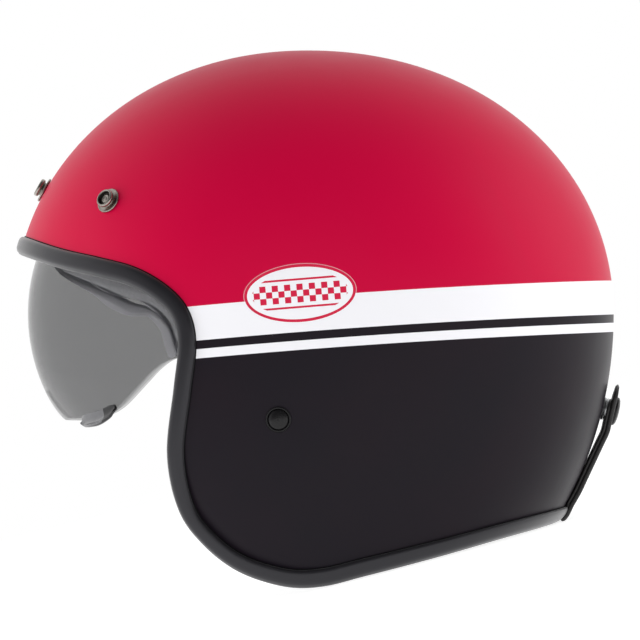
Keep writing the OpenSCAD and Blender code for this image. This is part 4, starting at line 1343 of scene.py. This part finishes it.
def build_ribbon():
    """Red pull ribbon, folded double and sewn to the lever's finger end."""
    lift = strap_lift(1)
    path = [(-8.5, 56.2), (-9.3, 53), (-10.1, 48), (-9.9, 40), (-9.5, 33), (-9.2, 30.6), (-9.6, 29.6),
            (-10.2, 30.4), (-10.5, 34), (-10.9, 41), (-11.0, 47.5), (-10.3, 52)]
    ribbon = strip("pull_ribbon", resampled(path, 1.2), 12, 0.6, RIBBON, lift)
    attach(ribbon, "lever")
    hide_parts("release_ribbon")


build_webbing(1)
build_webbing(-1)
build_sleeve()
build_ribbon()

# The nape's leather, in side view (y, z): the fold, the strap's run and the snap's place and way
FOLD, RUN_LEAN = Vector((123.6, -75.3)), math.radians(25.1)
RUN_DIR = Vector((math.sin(RUN_LEAN), math.cos(RUN_LEAN)))
SNAP_DIR = Vector((0.2333, 0.9724))
SNAP_MID = Vector((136.54, -42.96))
LEATHER_W = 20.0
# Its tail lies on the bead at the nape and curls round it
TAIL = [(113.7, -91.9), (114.9, -91.2), (116.4, -89.2), (118.3, -85.3), (120.1, -82.2)]


def build_goggle_strap():
    """Two layers of leather with a groove between them, from the bead's end up to the snap."""
    lift = lambda a, b, w: Vector((w, a, b))
    run = [FOLD + s * RUN_DIR for s in (-4, 0, 5, 10, 15, 20, 25)]
    head = [SNAP_MID + s * SNAP_DIR for s in (-5, 0, 5, 9, 12)]
    path = resampled(TAIL + run + head, 0.9)

    def layer(points, depth, low_share=1.0):
        """The path moved that far towards the shell, and by low_share of it at its lower end."""
        out = []
        for i, p in enumerate(points):
            d = (points[min(len(points) - 1, i + 1)] - points[max(0, i - 1)]).normalized()
            share = mix(low_share, 1.0, smooth(i / 6))
            out.append(p + Vector((-d.y, d.x)) * depth * share)
        return out

    outer = strip("goggle_leather", layer(path, -0.1), LEATHER_W, 2.1, LEATHER, lift, round_r=0.75, tip=7.0)
    under = resampled(TAIL[2:] + run + head[:3], 0.9)
    inner = strip("goggle_leather_lining", layer(under, 1.65, 0.6), LEATHER_W - 1.2, 1.5, LEATHER, lift,
                  round_r=0.6, tip=4.0)
    length = [0.0]
    for a, b in zip(path, path[1:]):
        length.append(length[-1] + (b - a).length)
    runs = []
    for side in (-1, 1):
        seam = []
        for i in range(2, len(path) - 1):
            left = length[-1] - length[i]
            if left < 5.5:
                break
            d = (path[i + 1] - path[i - 1]).normalized()
            w = LEATHER_W / 2 - 2.2
            if left < 11:
                w *= math.sqrt(max(0.05, 1 - ((11 - left) / 9.5) ** 2))
            face = Vector((0, d.y, -d.x))
            seam.append((Vector((side * w, path[i].x, path[i].y)) + face * 1.0, face))
        runs.append(seam)
    thread = stitches("goggle_leather_stitches", runs, 2.2, 1.0, 0.17)
    for piece in (outer, inner, thread):
        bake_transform(piece)
    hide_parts("goggle_strap_root", "goggle_strap")


build_goggle_strap()


# ---------------------------------------------------------------- turned fittings

def turned(name, spots, section, material, inside=None, sides=48):
    """The section, (radius, height) pairs, turned about each spot's axis. spots are (centre, axis)
    pairs. inside is a (material, first, last) finish for those steps of the section."""
    points, faces, dark = [], [], []
    for centre, axis in spots:
        side = axis.orthogonal().normalized()
        up = axis.cross(side)
        base = len(points)
        for k in range(sides):
            a = 2 * math.pi * k / sides
            way = math.cos(a) * side + math.sin(a) * up
            points += [centre + way * r + axis * h for r, h in section]
        n = len(section)
        for k in range(sides):
            for j in range(n - 1):
                a, b = base + k * n + j, base + (k + 1) % sides * n + j
                faces.append((a, b, b + 1, a + 1))
                dark.append(j)
    piece = new_piece(name, points, faces, material)
    work = bmesh.new()
    work.from_mesh(piece.data)
    marks = work.faces.layers.int.new("step")
    for face, j in zip(work.faces, dark):
        face[marks] = j
    bmesh.ops.remove_doubles(work, verts=work.verts, dist=1e-6)
    bmesh.ops.dissolve_degenerate(work, edges=work.edges, dist=1e-6)
    bmesh.ops.recalc_face_normals(work, faces=work.faces)
    if inside:
        for face in work.faces:
            face.material_index = 1 if inside[1] <= face[marks] < inside[2] else 0
    work.faces.layers.int.remove(marks)
    work.to_mesh(piece.data)
    work.free()
    if inside:
        piece.data.materials.append(inside[0])
    return piece


BROW_SPOTS = [((0, -118.111, 55.9), (0, -0.8728, 0.4881)),
              ((74.671, -87.5, 50.1), (0.6865, -0.5978, 0.4139)),
              ((-74.671, -87.5, 50.1), (-0.6865, -0.5978, 0.4139))]


def build_brow_studs():
    """Press studs: a dished base with a rolled rim, a waist, a hollow ring head and the rivet in it."""
    section = [(0.01, 2.75), (0.7, 2.78), (0.95, 2.6), (1.3, 2.6), (1.45, 2.8), (1.95, 2.7), (2.15, 2.3),
               (2.3, 1.75), (2.9, 1.75), (3.05, 2.1), (3.1, 3.2), (3.2, 3.75), (3.45, 3.93), (3.8, 3.86),
               (4.1, 3.55), (4.2, 3.1), (4.15, 2.5), (3.95, 2.1), (3.45, 1.85), (3.15, 1.6), (3.15, 1.3),
               (3.4, 1.12), (4.2, 1.0), (4.9, 0.9), (5.2, 1.05), (5.5, 1.05), (5.72, 0.8), (5.75, 0.45),
               (5.6, 0.15), (4.0, 0.12), (0.01, 0.12)]
    spots = [(Vector(c), Vector(n).normalized()) for c, n in BROW_SPOTS]
    studs = turned("brow_studs", spots, section, NICKEL, (PATINA, 5, 11))
    tail = [(0.01, -5.8), (3.0, -5.8), (3.4, -5.3), (3.3, -4.9), (1.9, -4.9), (1.9, 0.1), (0.01, 0.1)]
    tails = turned("brow_stud_tails", spots, tail, NICKEL)
    for piece, node in ((studs, "brow_snap_studs"), (tails, "brow_snap_rivets")):
        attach(piece, "helmet")
        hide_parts(node)


def build_nape_rivet():
    """Flat black rivet through the strap's tail, its head let into the leather."""
    s = -7.0
    at = FOLD + s * RUN_DIR
    axis = Vector((0, RUN_DIR.y, -RUN_DIR.x))
    section = [(0.01, 1.75), (1.6, 1.7), (3.0, 1.45), (3.7, 1.15), (3.8, 0.9), (1.5, 0.8), (1.5, -7.4),
               (3.0, -7.6), (3.0, -8.4), (0.01, -8.5)]
    rivet = turned("nape_rivet", [(Vector((0, at.x - 0.6, at.y)), axis)], section, ENAMEL)
    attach(rivet, "helmet")
    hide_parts("goggle_strap_rivet")


build_brow_studs()
build_nape_rivet()

# ---------------------------------------------------------------- finishes of the carried-over nodes

FINISHES = {
    "strap_rivet_rings": ENAMEL, "strap_rivet_caps": ENAMEL, "goggle_snap_cap": ENAMEL,
    "brow_snap_washers": STEEL, "strap_anchor_plates": STEEL, "strap_rivet_washers": STEEL,
    "visor_friction_washers": STEEL, "visor_pivot_screws": STEEL, "buckle_housing": STEEL,
    "lever_pin": STEEL, "lever_spring": STEEL, "ratchet_tongue": STEEL,
    "goggle_snap_socket": STEEL, "goggle_snap_stud": STEEL, "goggle_stud_rivet": STEEL,
    "visor_pivot_plates": BLACK_PLASTIC, "buckle_lever": BLACK_PLASTIC,
}
for node, look in FINISHES.items():
    mesh = frame["nodes"][node].data
    mesh.materials.clear()
    mesh.materials.append(look)

# ---------------------------------------------------------------- camera, light and floor

CAMERA_FROM, CAMERA_Y, CAMERA_Z = 3500.0, 5.4, -2.25
VIEW_WIDTH = 288.0
SENSOR = 36.0


def build_camera():
    data = bpy.data.cameras.new("camera")
    data.sensor_width, data.lens = SENSOR, SENSOR * CAMERA_FROM / VIEW_WIDTH
    data.clip_start, data.clip_end = 0.1, 50
    camera = bpy.data.objects.new("camera", data)
    bpy.context.scene.collection.objects.link(camera)
    axes = [TURN @ Vector(a) for a in ((0, 1, 0), (0, 0, 1), (1, 0, 0))]
    turn = Matrix(axes).transposed().to_4x4()
    camera.matrix_world = Matrix.Translation(row_point((CAMERA_FROM, CAMERA_Y, CAMERA_Z))) @ turn
    bpy.context.scene.camera = camera


def softbox(name, azimuth, height, distance, width, tall, power):
    """A soft box at the azimuth in degrees from +X towards -Y, aimed at the helmet."""
    data = bpy.data.lights.new(name, "AREA")
    data.shape, data.size, data.size_y, data.energy = "RECTANGLE", width, tall, power
    lamp = bpy.data.objects.new(name, data)
    bpy.context.scene.collection.objects.link(lamp)
    a = math.radians(azimuth)
    at = Vector((math.cos(a) * distance, -math.sin(a) * distance, height))
    lamp.visible_glossy = False
    lamp.location = at
    lamp.rotation_mode = "QUATERNION"
    lamp.rotation_quaternion = (Vector((0, 0, 0.12)) - at).to_track_quat("-Z", "Y")


def build_stage():
    floor_look = Look("floor")
    speck = floor_look.noise(40.0, 2)
    grey = floor_look.blend(floor_look.between(speck, 0, 0.05), (0.5, 0.5, 0.5, 1), (0.47, 0.47, 0.47, 1))
    diffuse = floor_look.add("BsdfDiffuse", {"Color": grey})
    glow = floor_look.add("Emission", {"Color": (1, 1, 1, 1), "Strength": 0.8})
    both = floor_look.add("AddShader", {0: diffuse.outputs[0], 1: glow.outputs[0]})
    material = floor_look.finish(both.outputs[0])
    half = 3000.0
    corners = [(-half, -half, 0), (half, -half, 0), (half, half, 0), (-half, half, 0)]
    floor = new_piece("floor", corners, [(0, 1, 2, 3)], material, place=Matrix.Translation((0, 0, -0.0004)))
    world = bpy.data.worlds.new("studio")
    bpy.context.scene.world = world
    world.use_nodes = True
    tree = world.node_tree
    tree.nodes.clear()

    def add(kind):
        return tree.nodes.new("ShaderNode" + kind)

    coord, parts = add("TexCoord"), add("SeparateXYZ")
    tree.links.new(coord.outputs["Generated"], parts.inputs[0])
    ramp = add("MapRange")
    ramp.inputs["From Min"].default_value = 0.55
    ramp.inputs["From Max"].default_value = -0.3
    ramp.inputs["To Min"].default_value = 0.15
    ramp.inputs["To Max"].default_value = 1.0
    # Darkest towards the camera, less so low in front, so that the sheen gathers at the rims
    value = parts.outputs[0]
    for axis, sign, weight in ((1, -1.0, -0.6), (2, 1.0, 0.4)):
        turn, keep, part = add("Math"), add("Math"), add("Math")
        turn.operation, keep.operation, part.operation = "MULTIPLY", "MAXIMUM", "MULTIPLY_ADD"
        turn.inputs[1].default_value, keep.inputs[1].default_value = sign, 0.0
        part.inputs[1].default_value = weight
        tree.links.new(parts.outputs[axis], turn.inputs[0])
        tree.links.new(turn.outputs[0], keep.inputs[0])
        tree.links.new(keep.outputs[0], part.inputs[0])
        tree.links.new(value, part.inputs[2])
        value = part.outputs[0]
    tree.links.new(value, ramp.inputs["Value"])
    dim, white, pick, out = add("Background"), add("Background"), add("MixShader"), add("OutputWorld")
    tree.links.new(ramp.outputs[0], dim.inputs["Strength"])
    white.inputs["Strength"].default_value = 1.0
    white.inputs["Color"].default_value = (1, 1, 1, 1)
    dim.inputs["Color"].default_value = (1, 1, 1, 1)
    path = add("LightPath")
    tree.links.new(path.outputs["Is Camera Ray"], pick.inputs[0])
    tree.links.new(dim.outputs[0], pick.inputs[1])
    tree.links.new(white.outputs[0], pick.inputs[2])
    tree.links.new(pick.outputs[0], out.inputs["Surface"])
    softbox("front_box", 92, 0.3, 1.5, 1.2, 1.5, 20)
    softbox("rear_box", -92, 0.3, 1.5, 1.2, 1.5, 17)
    softbox("key_box", 0, 0.9, 2.6, 1.8, 1.0, 30)
    bpy.context.scene.view_settings.view_transform = "Standard"


build_camera()
build_stage()
